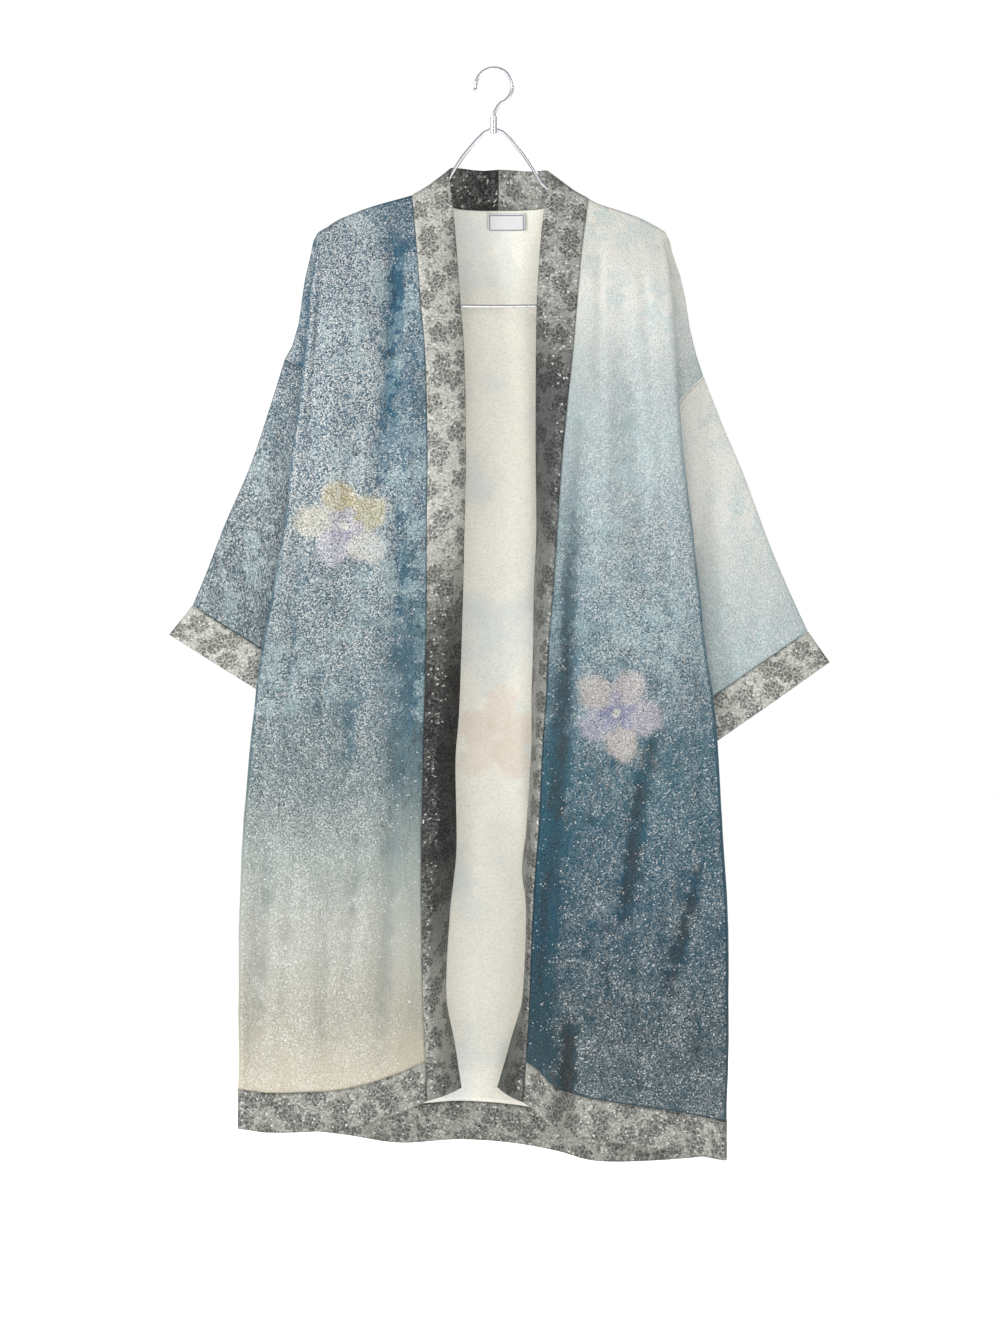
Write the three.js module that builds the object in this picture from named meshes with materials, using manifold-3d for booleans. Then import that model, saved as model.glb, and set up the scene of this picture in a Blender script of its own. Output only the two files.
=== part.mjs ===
// Long open kimono jacket of crinkled jacquard, hanging flat on a wire hanger.
// Millimetres, +Z up, +X to the viewer's right, the front faces -Y.
// The origin is where the hook of the hanger rests on a rail.
// Left and right are the wearer's: the right front hangs at -X.
import * as THREE from "three";
import { mergeVertices } from "three/addons/utils/BufferGeometryUtils.js";
import Module from "manifold-3d";

const wasm = await Module();
wasm.setup();

// Driving sizes of the cloth
const CLOTH = 1.5; // one crinkled layer
const DOUBLED = 2.4; // front bands and neckband, cut double
const TRIM = 2.0; // cuff and hem bands, cut double
const WOVEN_LABEL = 1.0;
const SEAM_GAP = 0.4;
const BAND_WIDTH = 48;
const HEM_HEIGHT = 47;
const SLEEVE_HALF_DEPTH = 9; // half of the flat sleeve's thickness, at its middle
const FOLD_OVER_WIRE = 3.5; // radius of the shoulder fold over the hanger's arm
const MEETING = 0.9; // half of the distance between two layers that meet at a seam
const BEHIND_FOLD = 13; // depth of the layer that turns back behind a fold edge
const LAID_ON_SLEEVE = 11.6; // depth of that layer where it lies against the sleeve
const TURN_AT_TOP = 9; // how far a fold edge rounds over, at the shoulder and at the hem
const TURN_AT_HEM = 5;
const PANEL_LENGTH = 1050; // from the shoulder fold to the hem seam
const HEM_FLARE = 0.06; // share by which the hem bands stand out at their lower edge
const BAND_CURL = 0.85; // share of the width that a narrow-looking band turns back

// How far down the panels, as a share of their length, each of these is complete
const FULL_DEPTH = 0.11;
const FULL_TURN = 0.045;
const FULL_CREASE = 0.06;
const FULL_CURL = 0.08;
const LEVEL_BAND = 0.2;

// Driving sizes of the hanger
const WIRE_RADIUS = 2.2;
const HOOK_RADIUS = 22; // to the wire's middle
const COLLAR_RADIUS = 4.2;
const HANGER_TOP = -70; // where the arms leave the collar

// Places down the panels, from the shoulder fold (0) to the hem seam (1)
const LEVELS = [
  0, 0.0012, 0.0035, 0.009, 0.02, 0.036, 0.056, 0.08, 0.11, 0.135, 0.15, 0.165, 0.2, 0.24, 0.285,
  0.32, 0.33, 0.38, 0.43, 0.48, 0.53, 0.58, 0.63, 0.68, 0.73, 0.79, 0.85, 0.91, 0.96, 1,
];
const ARMHOLE_TOP = 0.15;
const ARMHOLE_FOOT = 0.32;

// Each front by height: the seam to the front band, the band's free edge and the outer fold edge
const FRONTS = {
  right: [
    { z: -151, seam: -98, edge: -54, fold: -209 },
    { z: -216, seam: -92, edge: -47, fold: -212 },
    { z: -283, seam: -87, edge: -41, fold: -221 },
    { z: -341, seam: -82, edge: -36, fold: -226 },
    { z: -458, seam: -79, edge: -34, fold: -240 },
    { z: -553, seam: -80, edge: -36, fold: -251 },
    { z: -639, seam: -80, edge: -38, fold: -266 },
    { z: -701, seam: -81, edge: -40, fold: -278 },
    { z: -776, seam: -83, edge: -43, fold: -287 },
    { z: -827, seam: -84, edge: -47, fold: -292 },
    { z: -936, seam: -86, edge: -46, fold: -300 },
    { z: -1014, seam: -86, edge: -54, fold: -303 },
    { z: -1117, seam: -84, edge: -58, fold: -304 },
    { z: -1184, seam: -81, edge: -47, fold: -303 },
    { z: -1235, seam: -79, edge: -39, fold: -305 },
  ],
  left: [
    { z: -155, seam: 113, edge: 67, fold: 202 },
    { z: -216, seam: 105, edge: 57, fold: 207 },
    { z: -281, seam: 99, edge: 52, fold: 213 },
    { z: -339, seam: 94, edge: 51, fold: 217 },
    { z: -465, seam: 81, edge: 51, fold: 226 },
    { z: -553, seam: 75, edge: 52, fold: 237 },
    { z: -628, seam: 70, edge: 49, fold: 245 },
    { z: -689, seam: 65, edge: 48, fold: 251 },
    { z: -752, seam: 62, edge: 46, fold: 261 },
    { z: -807, seam: 58, edge: 46, fold: 266 },
    { z: -910, seam: 53, edge: 40, fold: 272 },
    { z: -961, seam: 49, edge: 35, fold: 275 },
    { z: -1014, seam: 46, edge: 41, fold: 278 },
    { z: -1115, seam: 42, edge: 36, fold: 279 },
    { z: -1184, seam: 38, edge: 19, fold: 279 },
    { z: -1235, seam: 33, edge: 4, fold: 277 },
  ],
};

// Where each front ends at the back: down the dropped shoulder, round the armhole, down the side seam
const SIDES = {
  right: [
    { level: 0, x: -216, z: -204 },
    { level: 0.02, x: -220, z: -224 },
    { level: 0.056, x: -226, z: -249 },
    { level: 0.08, x: -230, z: -275 },
    { level: 0.11, x: -234, z: -305 },
    { level: 0.135, x: -242, z: -332 },
    { level: 0.15, x: -250, z: -346 },
    { level: 0.165, x: -230, z: -358 },
    { level: 0.2, x: -212, z: -390 },
    { level: 0.24, x: -196, z: -432 },
    { level: 0.285, x: -183, z: -478 },
    { level: 0.32, x: -170, z: -526 },
    { level: 0.33, x: -166, z: -535 },
    { level: 0.38, x: -163, z: -588 },
    { level: 0.48, x: -171, z: -690 },
    { level: 0.55, x: -188, z: -762 },
    { level: 0.62, x: -222, z: -834 },
    { level: 0.73, x: -270, z: -945 },
    { level: 0.85, x: -294, z: -1068 },
    { level: 1, x: -302, z: -1218 },
  ],
  left: [
    { level: 0, x: 210, z: -204 },
    { level: 0.02, x: 214, z: -221 },
    { level: 0.056, x: 223, z: -247 },
    { level: 0.08, x: 229, z: -273 },
    { level: 0.11, x: 235, z: -312 },
    { level: 0.135, x: 243, z: -344 },
    { level: 0.15, x: 251, z: -368 },
    { level: 0.165, x: 233, z: -384 },
    { level: 0.2, x: 210, z: -413 },
    { level: 0.24, x: 196, z: -454 },
    { level: 0.285, x: 183, z: -500 },
    { level: 0.32, x: 170, z: -546 },
    { level: 0.33, x: 166, z: -555 },
    { level: 0.38, x: 163, z: -606 },
    { level: 0.48, x: 174, z: -704 },
    { level: 0.55, x: 190, z: -780 },
    { level: 0.62, x: 216, z: -846 },
    { level: 0.73, x: 250, z: -950 },
    { level: 0.85, x: 270, z: -1078 },
    { level: 1, x: 276, z: -1255 },
  ],
};

// The shoulder fold from the neck to the hanger's tip
const SHOULDERS = {
  right: [
    { x: -98, z: -151 },
    { x: -148, z: -165 },
    { x: -174, z: -175 },
    { x: -187, z: -181 },
    { x: -200, z: -190 },
  ],
  left: [
    { x: 113, z: -155 },
    { x: 128, z: -162 },
    { x: 153, z: -170 },
    { x: 178, z: -180 },
    { x: 193, z: -189 },
  ],
};

// The hem seam across each front, from the band seam (0) to the fold edge (1)
const HEM_SEAMS = {
  right: [
    { across: 0, z: -1184 },
    { across: 0.12, z: -1196 },
    { across: 0.29, z: -1209 },
    { across: 0.46, z: -1218 },
    { across: 0.63, z: -1221 },
    { across: 0.86, z: -1222 },
    { across: 1, z: -1218 },
  ],
  left: [
    { across: 0, z: -1185 },
    { across: 0.063, z: -1195 },
    { across: 0.13, z: -1210 },
    { across: 0.185, z: -1220 },
    { across: 0.25, z: -1224 },
    { across: 0.42, z: -1232 },
    { across: 0.8, z: -1246 },
    { across: 1, z: -1255 },
  ],
};

// The neckline's seam round the back of the neck, and the free edge of the neckband that stands on it
const NECKLINE = [
  { x: -98, y: 0.9, z: -151, freeX: -54, freeZ: -122 },
  { x: -93, y: 5, z: -153, freeX: -52, freeZ: -118 },
  { x: -85, y: 10, z: -155.5, freeX: -49, freeZ: -116 },
  { x: -73, y: 15, z: -158.5, freeX: -44, freeZ: -115 },
  { x: -57, y: 20, z: -161.5, freeX: -35, freeZ: -115 },
  { x: -38, y: 23.5, z: -164, freeX: -25, freeZ: -116 },
  { x: -17, y: 25.5, z: -165, freeX: -12, freeZ: -116.5 },
  { x: 6, y: 26, z: -165, freeX: 6, freeZ: -115 },
  { x: 29, y: 25.5, z: -165, freeX: 24, freeZ: -116 },
  { x: 50, y: 23.5, z: -164, freeX: 37, freeZ: -117.5 },
  { x: 69, y: 20, z: -162, freeX: 47, freeZ: -118 },
  { x: 86, y: 15, z: -160, freeX: 55, freeZ: -118.5 },
  { x: 99, y: 10, z: -158, freeX: 60.5, freeZ: -119 },
  { x: 108, y: 5, z: -156.5, freeX: 64.5, freeZ: -121 },
  { x: 113, y: 0.9, z: -155, freeX: 67, freeZ: -124 },
];
const CENTRE_BACK = 7; // the row at the seam between the neckband's halves

// The back's hem seam, from the right fold edge (0) to the left (1)
const BACK_HEM = [
  { across: 0, z: -1224 },
  { across: 0.2, z: -1236 },
  { across: 0.32, z: -1246 },
  { across: 0.45, z: -1242 },
  { across: 0.56, z: -1246 },
  { across: 0.66, z: -1256 },
  { across: 0.74, z: -1268 },
  { across: 0.86, z: -1268 },
  { across: 1, z: -1262 },
];
const BACK_INSET = 4; // the back's fold edges lie this far inside the fronts'

// Depth of the panels away from the middle plane, by height
const DEPTHS = [
  { z: -150, seam: 14, front: 16, back: 20 },
  { z: -216, seam: 20, front: 22, back: 25 },
  { z: -400, seam: 27, front: 27, back: 28 },
  { z: -700, seam: 28, front: 27, back: 28 },
  { z: -1000, seam: 32, front: 30, back: 30 },
  { z: -1260, seam: 36, front: 34, back: 32 },
];

// Each sleeve by section, flat from its top fold to its underside, and the cuff that ends it
const SLEEVES = {
  right: [
    { topX: -250, topZ: -346, underX: -170, underZ: -526 },
    { topX: -270, topZ: -410, underX: -172, underZ: -570 },
    { topX: -293, topZ: -478, underX: -174, underZ: -610 },
    { topX: -323, topZ: -547, underX: -179, underZ: -655 },
    { topX: -344, topZ: -602, underX: -188, underZ: -700 },
    { topX: -361, topZ: -643, underX: -200, underZ: -744 },
  ],
  left: [
    { topX: 251, topZ: -368, underX: 170, underZ: -546 },
    { topX: 273, topZ: -424, underX: 173, underZ: -590 },
    { topX: 300, topZ: -488, underX: 178, underZ: -640 },
    { topX: 330, topZ: -569, underX: 190, underZ: -690 },
    { topX: 355, topZ: -628, underX: 206, underZ: -738 },
    { topX: 376, topZ: -674, underX: 222, underZ: -779 },
  ],
};
const CUFFS = {
  right: [
    { topX: -361, topZ: -643, underX: -200, underZ: -744 },
    { topX: -389, topZ: -678, underX: -228, underZ: -778 },
  ],
  left: [
    { topX: 376, topZ: -674, underX: 222, underZ: -779 },
    { topX: 402, topZ: -711, underX: 246, underZ: -820 },
  ],
};

const TOP_RISE = 29; // how much higher a front band's free edge starts than its seam
const FOOT_RISE = 12; // and how much higher it ends

// The largest folds of the panels: where each starts and ends, its width and its depth inwards
const FOLDS = {
  right: [
    { x0: -113, z0: -176, x1: -140, z1: -560, width: 15, depth: 8 },
    { x0: -180, z0: -230, x1: -205, z1: -620, width: 18, depth: -4 },
    { x0: -163, z0: -700, x1: -180, z1: -860, width: 14, depth: 4 },
    { x0: -119, z0: -880, x1: -136, z1: -1190, width: 15, depth: 6 },
    { x0: -266, z0: -900, x1: -285, z1: -1215, width: 13, depth: 5 },
    { x0: -215, z0: -950, x1: -225, z1: -1215, width: 22, depth: -5 },
  ],
  left: [
    { x0: 108, z0: -400, x1: 70, z1: -1040, width: 15, depth: 6 },
    { x0: 150, z0: -240, x1: 175, z1: -640, width: 20, depth: 5 },
    { x0: 184, z0: -800, x1: 152, z1: -1040, width: 16, depth: 6 },
    { x0: 248, z0: -940, x1: 205, z1: -1120, width: 15, depth: 5 },
    { x0: 92, z0: -1120, x1: 84, z1: -1300, width: 16, depth: 9 },
    { x0: 220, z0: -640, x1: 232, z1: -980, width: 20, depth: -4 },
  ],
  back: [
    { x0: -130, z0: -200, x1: -165, z1: -900, width: 20, depth: 6 },
    { x0: -60, z0: -420, x1: -95, z1: -1230, width: 24, depth: 6 },
    { x0: 20, z0: -240, x1: 12, z1: -900, width: 22, depth: 5 },
    { x0: 60, z0: -640, x1: 100, z1: -1240, width: 24, depth: 7 },
    { x0: 140, z0: -220, x1: 180, z1: -860, width: 20, depth: 6 },
  ],
};

// Half of the hanger's wire loop, from the collar down one arm and back along the trouser bar
const HANGER_HALF = [
  { x: 31, z: -96 },
  { x: 49, z: -122 },
  { x: 57, z: -136 },
  { x: 70, z: -146.3 },
  { x: 98, z: -155.9 },
  { x: 128, z: -165.8 },
  { x: 153, z: -174.4 },
  { x: 178, z: -185.1 },
  { x: 190, z: -191.8 },
  { x: 197, z: -201 },
  { x: 197, z: -210 },
  { x: 187, z: -229 },
  { x: 166, z: -254 },
  { x: 141, z: -274 },
  { x: 118, z: -280 },
];

const lerp = THREE.MathUtils.lerp;
const smooth = THREE.MathUtils.smoothstep;
const clamp = THREE.MathUtils.clamp;
const point = (x, y, z) => new THREE.Vector3(x, y, z);

// Reads one column of a table at a place between its rows, in straight steps or along a smooth curve
function read(rows, key, column, place, curved = true) {
  const last = rows.length - 1;
  const rising = rows[last][key] > rows[0][key];
  const at = (i) => (rising ? rows[i][key] : -rows[i][key]);
  const p = clamp(rising ? place : -place, at(0), at(last));
  let i = 0;
  while (i < last - 1 && p > at(i + 1)) i += 1;
  const span = at(i + 1) - at(i);
  const t = (p - at(i)) / span;
  const [a, b] = [rows[i][column], rows[i + 1][column]];
  if (!curved) return lerp(a, b, t);
  const slope = (k) => {
    const [from, to] = [Math.max(0, k - 1), Math.min(last, k + 1)];
    return (rows[to][column] - rows[from][column]) / (at(to) - at(from));
  };
  const [t2, t3] = [t * t, t * t * t];
  return (
    a * (2 * t3 - 3 * t2 + 1) +
    b * (3 * t2 - 2 * t3) +
    slope(i) * span * (t3 - 2 * t2 + t) +
    slope(i + 1) * span * (t3 - t2)
  );
}

// A closed body from its vertices and triangles, with its faces turned outwards
function body(vertices, triangles) {
  let volume = 0;
  for (const [a, b, c] of triangles)
    volume += vertices[a].dot(vertices[b].clone().cross(vertices[c]));
  const faces = volume < 0 ? triangles.map(([a, b, c]) => [a, c, b]) : triangles;
  const geometry = new THREE.BufferGeometry().setFromPoints(vertices);
  geometry.setIndex(faces.flat());
  geometry.computeVertexNormals();
  return geometry;
}

// A cloth wall of even thickness about a middle surface, which is a grid of points.
// A tube's grid closes on itself across its columns.
function wall(grid, thickness, tube = false) {
  const rows = grid.length;
  const cols = grid[0].length;
  const column = (j) => (tube ? (j + cols) % cols : clamp(j, 0, cols - 1));
  const vertices = [];
  for (const side of [1, -1])
    grid.forEach((line, i) =>
      line.forEach((p, j) => {
        const along = grid[Math.min(i + 1, rows - 1)][j].clone().sub(grid[Math.max(i - 1, 0)][j]);
        const across = line[column(j + 1)].clone().sub(line[column(j - 1)]);
        const normal = across.cross(along).normalize();
        vertices.push(p.clone().addScaledVector(normal, (side * thickness) / 2));
      }),
    );
  const outer = (i, j) => i * cols + column(j);
  const inner = (i, j) => rows * cols + outer(i, j);
  const triangles = [];
  const quad = (a, b, c, d) => triangles.push([a, b, c], [a, c, d]);
  const spans = tube ? cols : cols - 1;
  for (let i = 0; i < rows - 1; i += 1)
    for (let j = 0; j < spans; j += 1) {
      quad(outer(i, j), outer(i, j + 1), outer(i + 1, j + 1), outer(i + 1, j));
      quad(inner(i, j), inner(i + 1, j), inner(i + 1, j + 1), inner(i, j + 1));
    }
  for (let j = 0; j < spans; j += 1) {
    quad(outer(0, j), inner(0, j), inner(0, j + 1), outer(0, j + 1));
    quad(outer(rows - 1, j), outer(rows - 1, j + 1), inner(rows - 1, j + 1), inner(rows - 1, j));
  }
  if (!tube)
    for (let i = 0; i < rows - 1; i += 1) {
      quad(outer(i, 0), outer(i + 1, 0), inner(i + 1, 0), inner(i, 0));
      const j = cols - 1;
      quad(outer(i, j), inner(i, j), inner(i + 1, j), outer(i + 1, j));
    }
  return body(vertices, triangles);
}

// How far the folds in a list push the cloth inwards at a place on the panel
function foldAt(folds, x, z) {
  return folds.reduce((sum, fold) => {
    const t = clamp((fold.z0 - z) / (fold.z0 - fold.z1), 0, 1);
    const offset = (x - lerp(fold.x0, fold.x1, t)) / fold.width;
    return sum + fold.depth * Math.exp(-offset * offset) * Math.sqrt(Math.sin(Math.PI * t));
  }, 0);
}

// Depth of a panel near the shoulder: it rounds over the hanger's wire, then opens to its full depth
function openingDepth(full, level, topDepth = MEETING) {
  const drop = clamp((level * PANEL_LENGTH) / FOLD_OVER_WIRE, 0, 1);
  const overWire = MEETING + (FOLD_OVER_WIRE - MEETING) * Math.sqrt(1 - (1 - drop) ** 2);
  const open = 1 - (1 - clamp(level / FULL_DEPTH, 0, 1)) ** 2;
  return lerp(Math.max(topDepth, overWire), full, open);
}

// Half of the flat sleeve's thickness, from its top fold (0) to its underside (1)
const sleeveDepth = (across) => SLEEVE_HALF_DEPTH * Math.sin(Math.PI * clamp(across, 0, 1)) ** 0.6;

// Where a level lies on the armhole, and the place where a panel ends at that level
const toArmhole = (level) => (level - ARMHOLE_TOP) / (ARMHOLE_FOOT - ARMHOLE_TOP);
const sidePoint = (side, level) => ({
  x: read(SIDES[side], "level", "x", level, false),
  z: read(SIDES[side], "level", "z", level, false),
});

// Distance of a panel's last line from the middle plane: closed at the shoulder and at the side
// seam, and laid on the sleeve round the armhole
function sideDepth(level) {
  const across = toArmhole(level);
  if (across <= 0 || across > 1.02) return MEETING;
  const clear = lerp(MEETING, CLOTH + 1.5 * SEAM_GAP, Math.min(1, across * 8));
  return sleeveDepth(Math.min(across, 0.9)) + clear;
}

// The turned edge of a panel at one level: half an ellipse round the fold, then the layer behind it
const TURN_STEPS = 4;
const turnReach = (level) => lerp(TURN_AT_TOP, TURN_AT_HEM, level);
function turnedEdge(side, level, fold, foldZ, depth) {
  const sign = side === "left" ? 1 : -1;
  const end = sidePoint(side, level);
  const reach = turnReach(level);
  const opened = smooth(level, 0, FULL_TURN);
  const behind = openingDepth(BEHIND_FOLD, level);
  const inward = sign * (fold - end.x);
  const hairpin = smooth(inward, 0, 25);
  const brink = fold - sign * reach;
  const points = [];
  for (let k = 0; k <= TURN_STEPS; k += 1) {
    const angle = (Math.PI * k) / TURN_STEPS;
    const round = fold - sign * reach * (1 - Math.sin(angle));
    const straight = lerp(brink, end.x, k / (TURN_STEPS + 2));
    points.push({
      x: lerp(straight, round, opened),
      y: lerp(depth, behind, (1 - Math.cos(angle)) / 2),
      z: lerp(foldZ, end.z, 0.1 * k),
    });
  }
  const near = lerp(0.5, 0.86, hairpin);
  points.push({
    x: lerp(brink, end.x, lerp(5 / 6, near, opened)),
    y: lerp(lerp(behind, sideDepth(level), 0.5), LAID_ON_SLEEVE, hairpin),
    z: lerp(foldZ, end.z, 0.8),
  });
  points.push({ x: end.x, y: sideDepth(level), z: end.z });
  return points;
}

// One front at one level, from the band seam to the side seam
const FRONT_COLUMNS = 11;
function frontLine(side, level) {
  const sign = side === "left" ? 1 : -1;
  const shoulder = SHOULDERS[side];
  const heightAt = (across) => {
    const topX = lerp(shoulder[0].x, shoulder[shoulder.length - 1].x, across);
    const top = read(shoulder, "x", "z", topX);
    return lerp(top, read(HEM_SEAMS[side], "across", "z", across), level);
  };
  const columnAt = (name, z) => read(FRONTS[side], "z", name, z);
  const line = [];
  const foldZ = heightAt(1);
  const fold = columnAt("fold", foldZ);
  const reach = turnReach(level);
  for (let i = 0; i < FRONT_COLUMNS; i += 1) {
    const across = i / FRONT_COLUMNS;
    const z = heightAt(across);
    const seam = columnAt("seam", z) + sign * SEAM_GAP;
    const x = lerp(seam, columnAt("fold", z) - sign * reach, across);
    const full = lerp(
      read(DEPTHS, "z", "seam", z),
      read(DEPTHS, "z", "front", z),
      smooth(across, 0, 0.5),
    );
    const creased = full - foldAt(FOLDS[side], x, z) * smooth(level, 0, FULL_CREASE);
    line.push(point(x, -openingDepth(creased, level), z));
  }
  const depth = openingDepth(read(DEPTHS, "z", "front", foldZ), level);
  for (const p of turnedEdge(side, level, fold, foldZ, depth)) line.push(point(p.x, -p.y, p.z));
  return line;
}

// The back's top line: both shoulders and the neckline between them
const BACK_TOP = [
  ...[...SHOULDERS.right].reverse().map(({ x, z }) => ({ x, y: MEETING, z })),
  ...NECKLINE.slice(1, -1),
  ...SHOULDERS.left.map(({ x, z }) => ({ x, y: MEETING, z })),
];

// A place on the back panel under a place on its top line
const BACK_RIGHT = BACK_TOP[0].x;
const BACK_LEFT = BACK_TOP[BACK_TOP.length - 1].x;
function backPoint(topX, level) {
  const across = (topX - BACK_RIGHT) / (BACK_LEFT - BACK_RIGHT);
  const top = read(BACK_TOP, "x", "z", topX, false);
  const z = lerp(top, read(BACK_HEM, "across", "z", across), level);
  const reach = turnReach(level) + BACK_INSET;
  const right = read(FRONTS.right, "z", "fold", z) + reach;
  const left = read(FRONTS.left, "z", "fold", z) - reach;
  const x = lerp(topX, lerp(right, left, across), smooth(level, 0, FULL_TURN));
  const crease = foldAt(FOLDS.back, x, z) * smooth(level, 0, FULL_CREASE);
  const full = read(DEPTHS, "z", "back", z) - crease;
  return point(x, openingDepth(full, level, read(BACK_TOP, "x", "y", topX, false)), z);
}
const BACK_STATIONS = [-174, -148, -122, ...NECKLINE.map((row) => row.x), 134, 155, 176];
function backLine(level) {
  const edge = (side, topX, sign) => {
    const { z } = backPoint(topX, level);
    const fold = read(FRONTS[side], "z", "fold", z) - sign * BACK_INSET;
    const depth = openingDepth(read(DEPTHS, "z", "back", z), level);
    return turnedEdge(side, level, fold, z, depth).map((p) => point(p.x, p.y, p.z));
  };
  const middle = BACK_STATIONS.map((topX) => backPoint(topX, level));
  return [...edge("right", BACK_RIGHT, -1).reverse(), ...middle, ...edge("left", BACK_LEFT, 1)];
}

// A hem band: it carries on from a panel's last line and flares a little
function hemBand(line) {
  return [2 * SEAM_GAP, HEM_HEIGHT / 2, HEM_HEIGHT].map((drop) =>
    line.map((p) => point(p.x, p.y * (1 + (HEM_FLARE * drop) / HEM_HEIGHT), p.z - drop)),
  );
}

// A front band and its half of the neckband: sections from the hem corner up to the centre back.
// The band lies in line with the panel at its seam and curls back towards its free edge.
const LEAST_AHEAD = 10; // how far a band runs on in line with the panel before it curls
const CURL_LIMIT = 8; // how far behind the middle plane its free edge may reach
const BAND_STEPS = [0, 0.09, 0.5, 1];
function bandSection(side, level, drop) {
  const sign = side === "left" ? 1 : -1;
  const z = lerp(SHOULDERS[side][0].z, HEM_SEAMS[side][0].z, level) - drop;
  const rise = TOP_RISE * (1 - smooth(level, 0, LEVEL_BAND)) + FOOT_RISE * smooth(level, 0.9, 1);
  const seam = read(FRONTS[side], "z", "seam", z);
  const free = read(FRONTS[side], "z", "edge", z);
  const width = Math.abs(seam - free);
  const flare = 1 + (HEM_FLARE * drop) / HEM_HEIGHT;
  const depth = openingDepth(read(DEPTHS, "z", "seam", z), level) * flare;
  const turned = Math.sqrt(Math.max(0, BAND_WIDTH ** 2 - width ** 2));
  const curl = BAND_CURL * turned * smooth(level, 0, FULL_CURL);
  const freeDepth = Math.max(level < FULL_TURN ? MEETING : -CURL_LIMIT, depth - curl);
  const ahead = Math.max(0.6 * width, LEAST_AHEAD);
  return BAND_STEPS.map((t) => {
    const [a, b, c] = [(1 - t) ** 2, 2 * t * (1 - t), t * t];
    return point(
      a * seam + b * (seam - sign * ahead) + c * free,
      -(a * depth + b * depth + c * freeDepth),
      z + rise * t,
    );
  });
}
function neckband(side) {
  const sections = [HEM_HEIGHT, HEM_HEIGHT / 2].map((drop) => bandSection(side, 1, drop));
  for (const level of [...LEVELS].reverse()) sections.push(bandSection(side, level, 0));
  const isLeft = side === "left";
  const half = isLeft ? NECKLINE.slice(CENTRE_BACK).reverse() : NECKLINE.slice(0, CENTRE_BACK + 1);
  const shift = (isLeft ? 1 : -1) * (SEAM_GAP / 2);
  for (const { x, y, z, freeX, freeZ } of half) {
    const seam = point(x + shift, y, z + SEAM_GAP);
    sections.push(BAND_STEPS.map((t) => seam.clone().lerp(point(freeX + shift, y, freeZ), t)));
  }
  return sections;
}

// A flat tube's sections, each a ring from its top fold round the front and back layers
const RING_STEPS = 10;
function ring(place) {
  const front = [];
  const back = [];
  for (let k = 0; k <= RING_STEPS; k += 1) {
    const across = (1 - Math.cos((Math.PI * k) / RING_STEPS)) / 2;
    const p = place(across);
    const depth = k === 0 || k === RING_STEPS ? 0 : sleeveDepth(across);
    front.push(point(p.x, -depth, p.z));
    back.push(point(p.x, depth, p.z));
  }
  return [...front, ...back.slice(1, -1).reverse()];
}
// A place on a flat tube at a share of its length, across from its top fold (0) to its underside (1)
const sectionPlace = (rows, t, across) => {
  const keyed = rows.map((row, k) => ({ ...row, t: k / (rows.length - 1) }));
  const at = (column) => read(keyed, "t", column, t);
  return {
    x: lerp(at("topX"), at("underX"), across),
    z: lerp(at("topZ"), at("underZ"), across),
  };
};
// A sleeve: its first ring follows the armhole and its last one meets the cuff
const SLEEVE_STEPS = 7;
function sleeve(side) {
  const rows = SLEEVES[side];
  const sign = side === "left" ? 1 : -1;
  const rings = [];
  for (let k = 0; k <= SLEEVE_STEPS; k += 1) {
    const t = k / SLEEVE_STEPS;
    rings.push(
      ring((across) => {
        const armhole = sidePoint(side, lerp(ARMHOLE_TOP, ARMHOLE_FOOT, across));
        const flat = sectionPlace(rows, 0, across);
        const p = sectionPlace(rows, t, across);
        const keep = (1 - t) ** 2;
        const start = k === 0 ? 2 * SEAM_GAP : 0;
        const stop = k === SLEEVE_STEPS ? SEAM_GAP : 0;
        return {
          x: p.x + (armhole.x - flat.x) * keep + sign * (0.45 * start - 0.5 * stop),
          z: p.z + (armhole.z - flat.z) * keep - 0.89 * start + 0.87 * stop,
        };
      }),
    );
  }
  return rings;
}
const cuff = (side) =>
  [0.01, 0.5, 1].map((t) => ring((across) => sectionPlace(CUFFS[side], t, across)));

// The label inside the back neck: the back's own points, moved in towards the front
function neckLabel() {
  const inwards = CLOTH / 2 + WOVEN_LABEL / 2 + 1.5 * SEAM_GAP;
  return [0.003, 0.012, 0.022].map((level) =>
    [-8, 4, 16, 28, 38].map((x) => {
      const p = backPoint(x, level);
      return point(p.x, p.y - inwards, p.z);
    }),
  );
}

// A closed solid for joining, and the geometry of what was joined
function solid(geometry) {
  const bare = geometry.index ? geometry.toNonIndexed() : geometry.clone();
  bare.deleteAttribute("normal");
  bare.deleteAttribute("uv");
  const merged = mergeVertices(bare, 1e-3);
  return new wasm.Manifold(
    new wasm.Mesh({
      numProp: 3,
      vertProperties: merged.attributes.position.array,
      triVerts: new Uint32Array(merged.index.array),
    }),
  );
}
function fromSolid(joined) {
  const { vertProperties, triVerts } = joined.getMesh();
  const geometry = new THREE.BufferGeometry();
  geometry.setAttribute("position", new THREE.BufferAttribute(vertProperties, 3));
  geometry.setIndex(new THREE.BufferAttribute(triVerts, 1));
  geometry.computeVertexNormals();
  return geometry;
}

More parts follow.
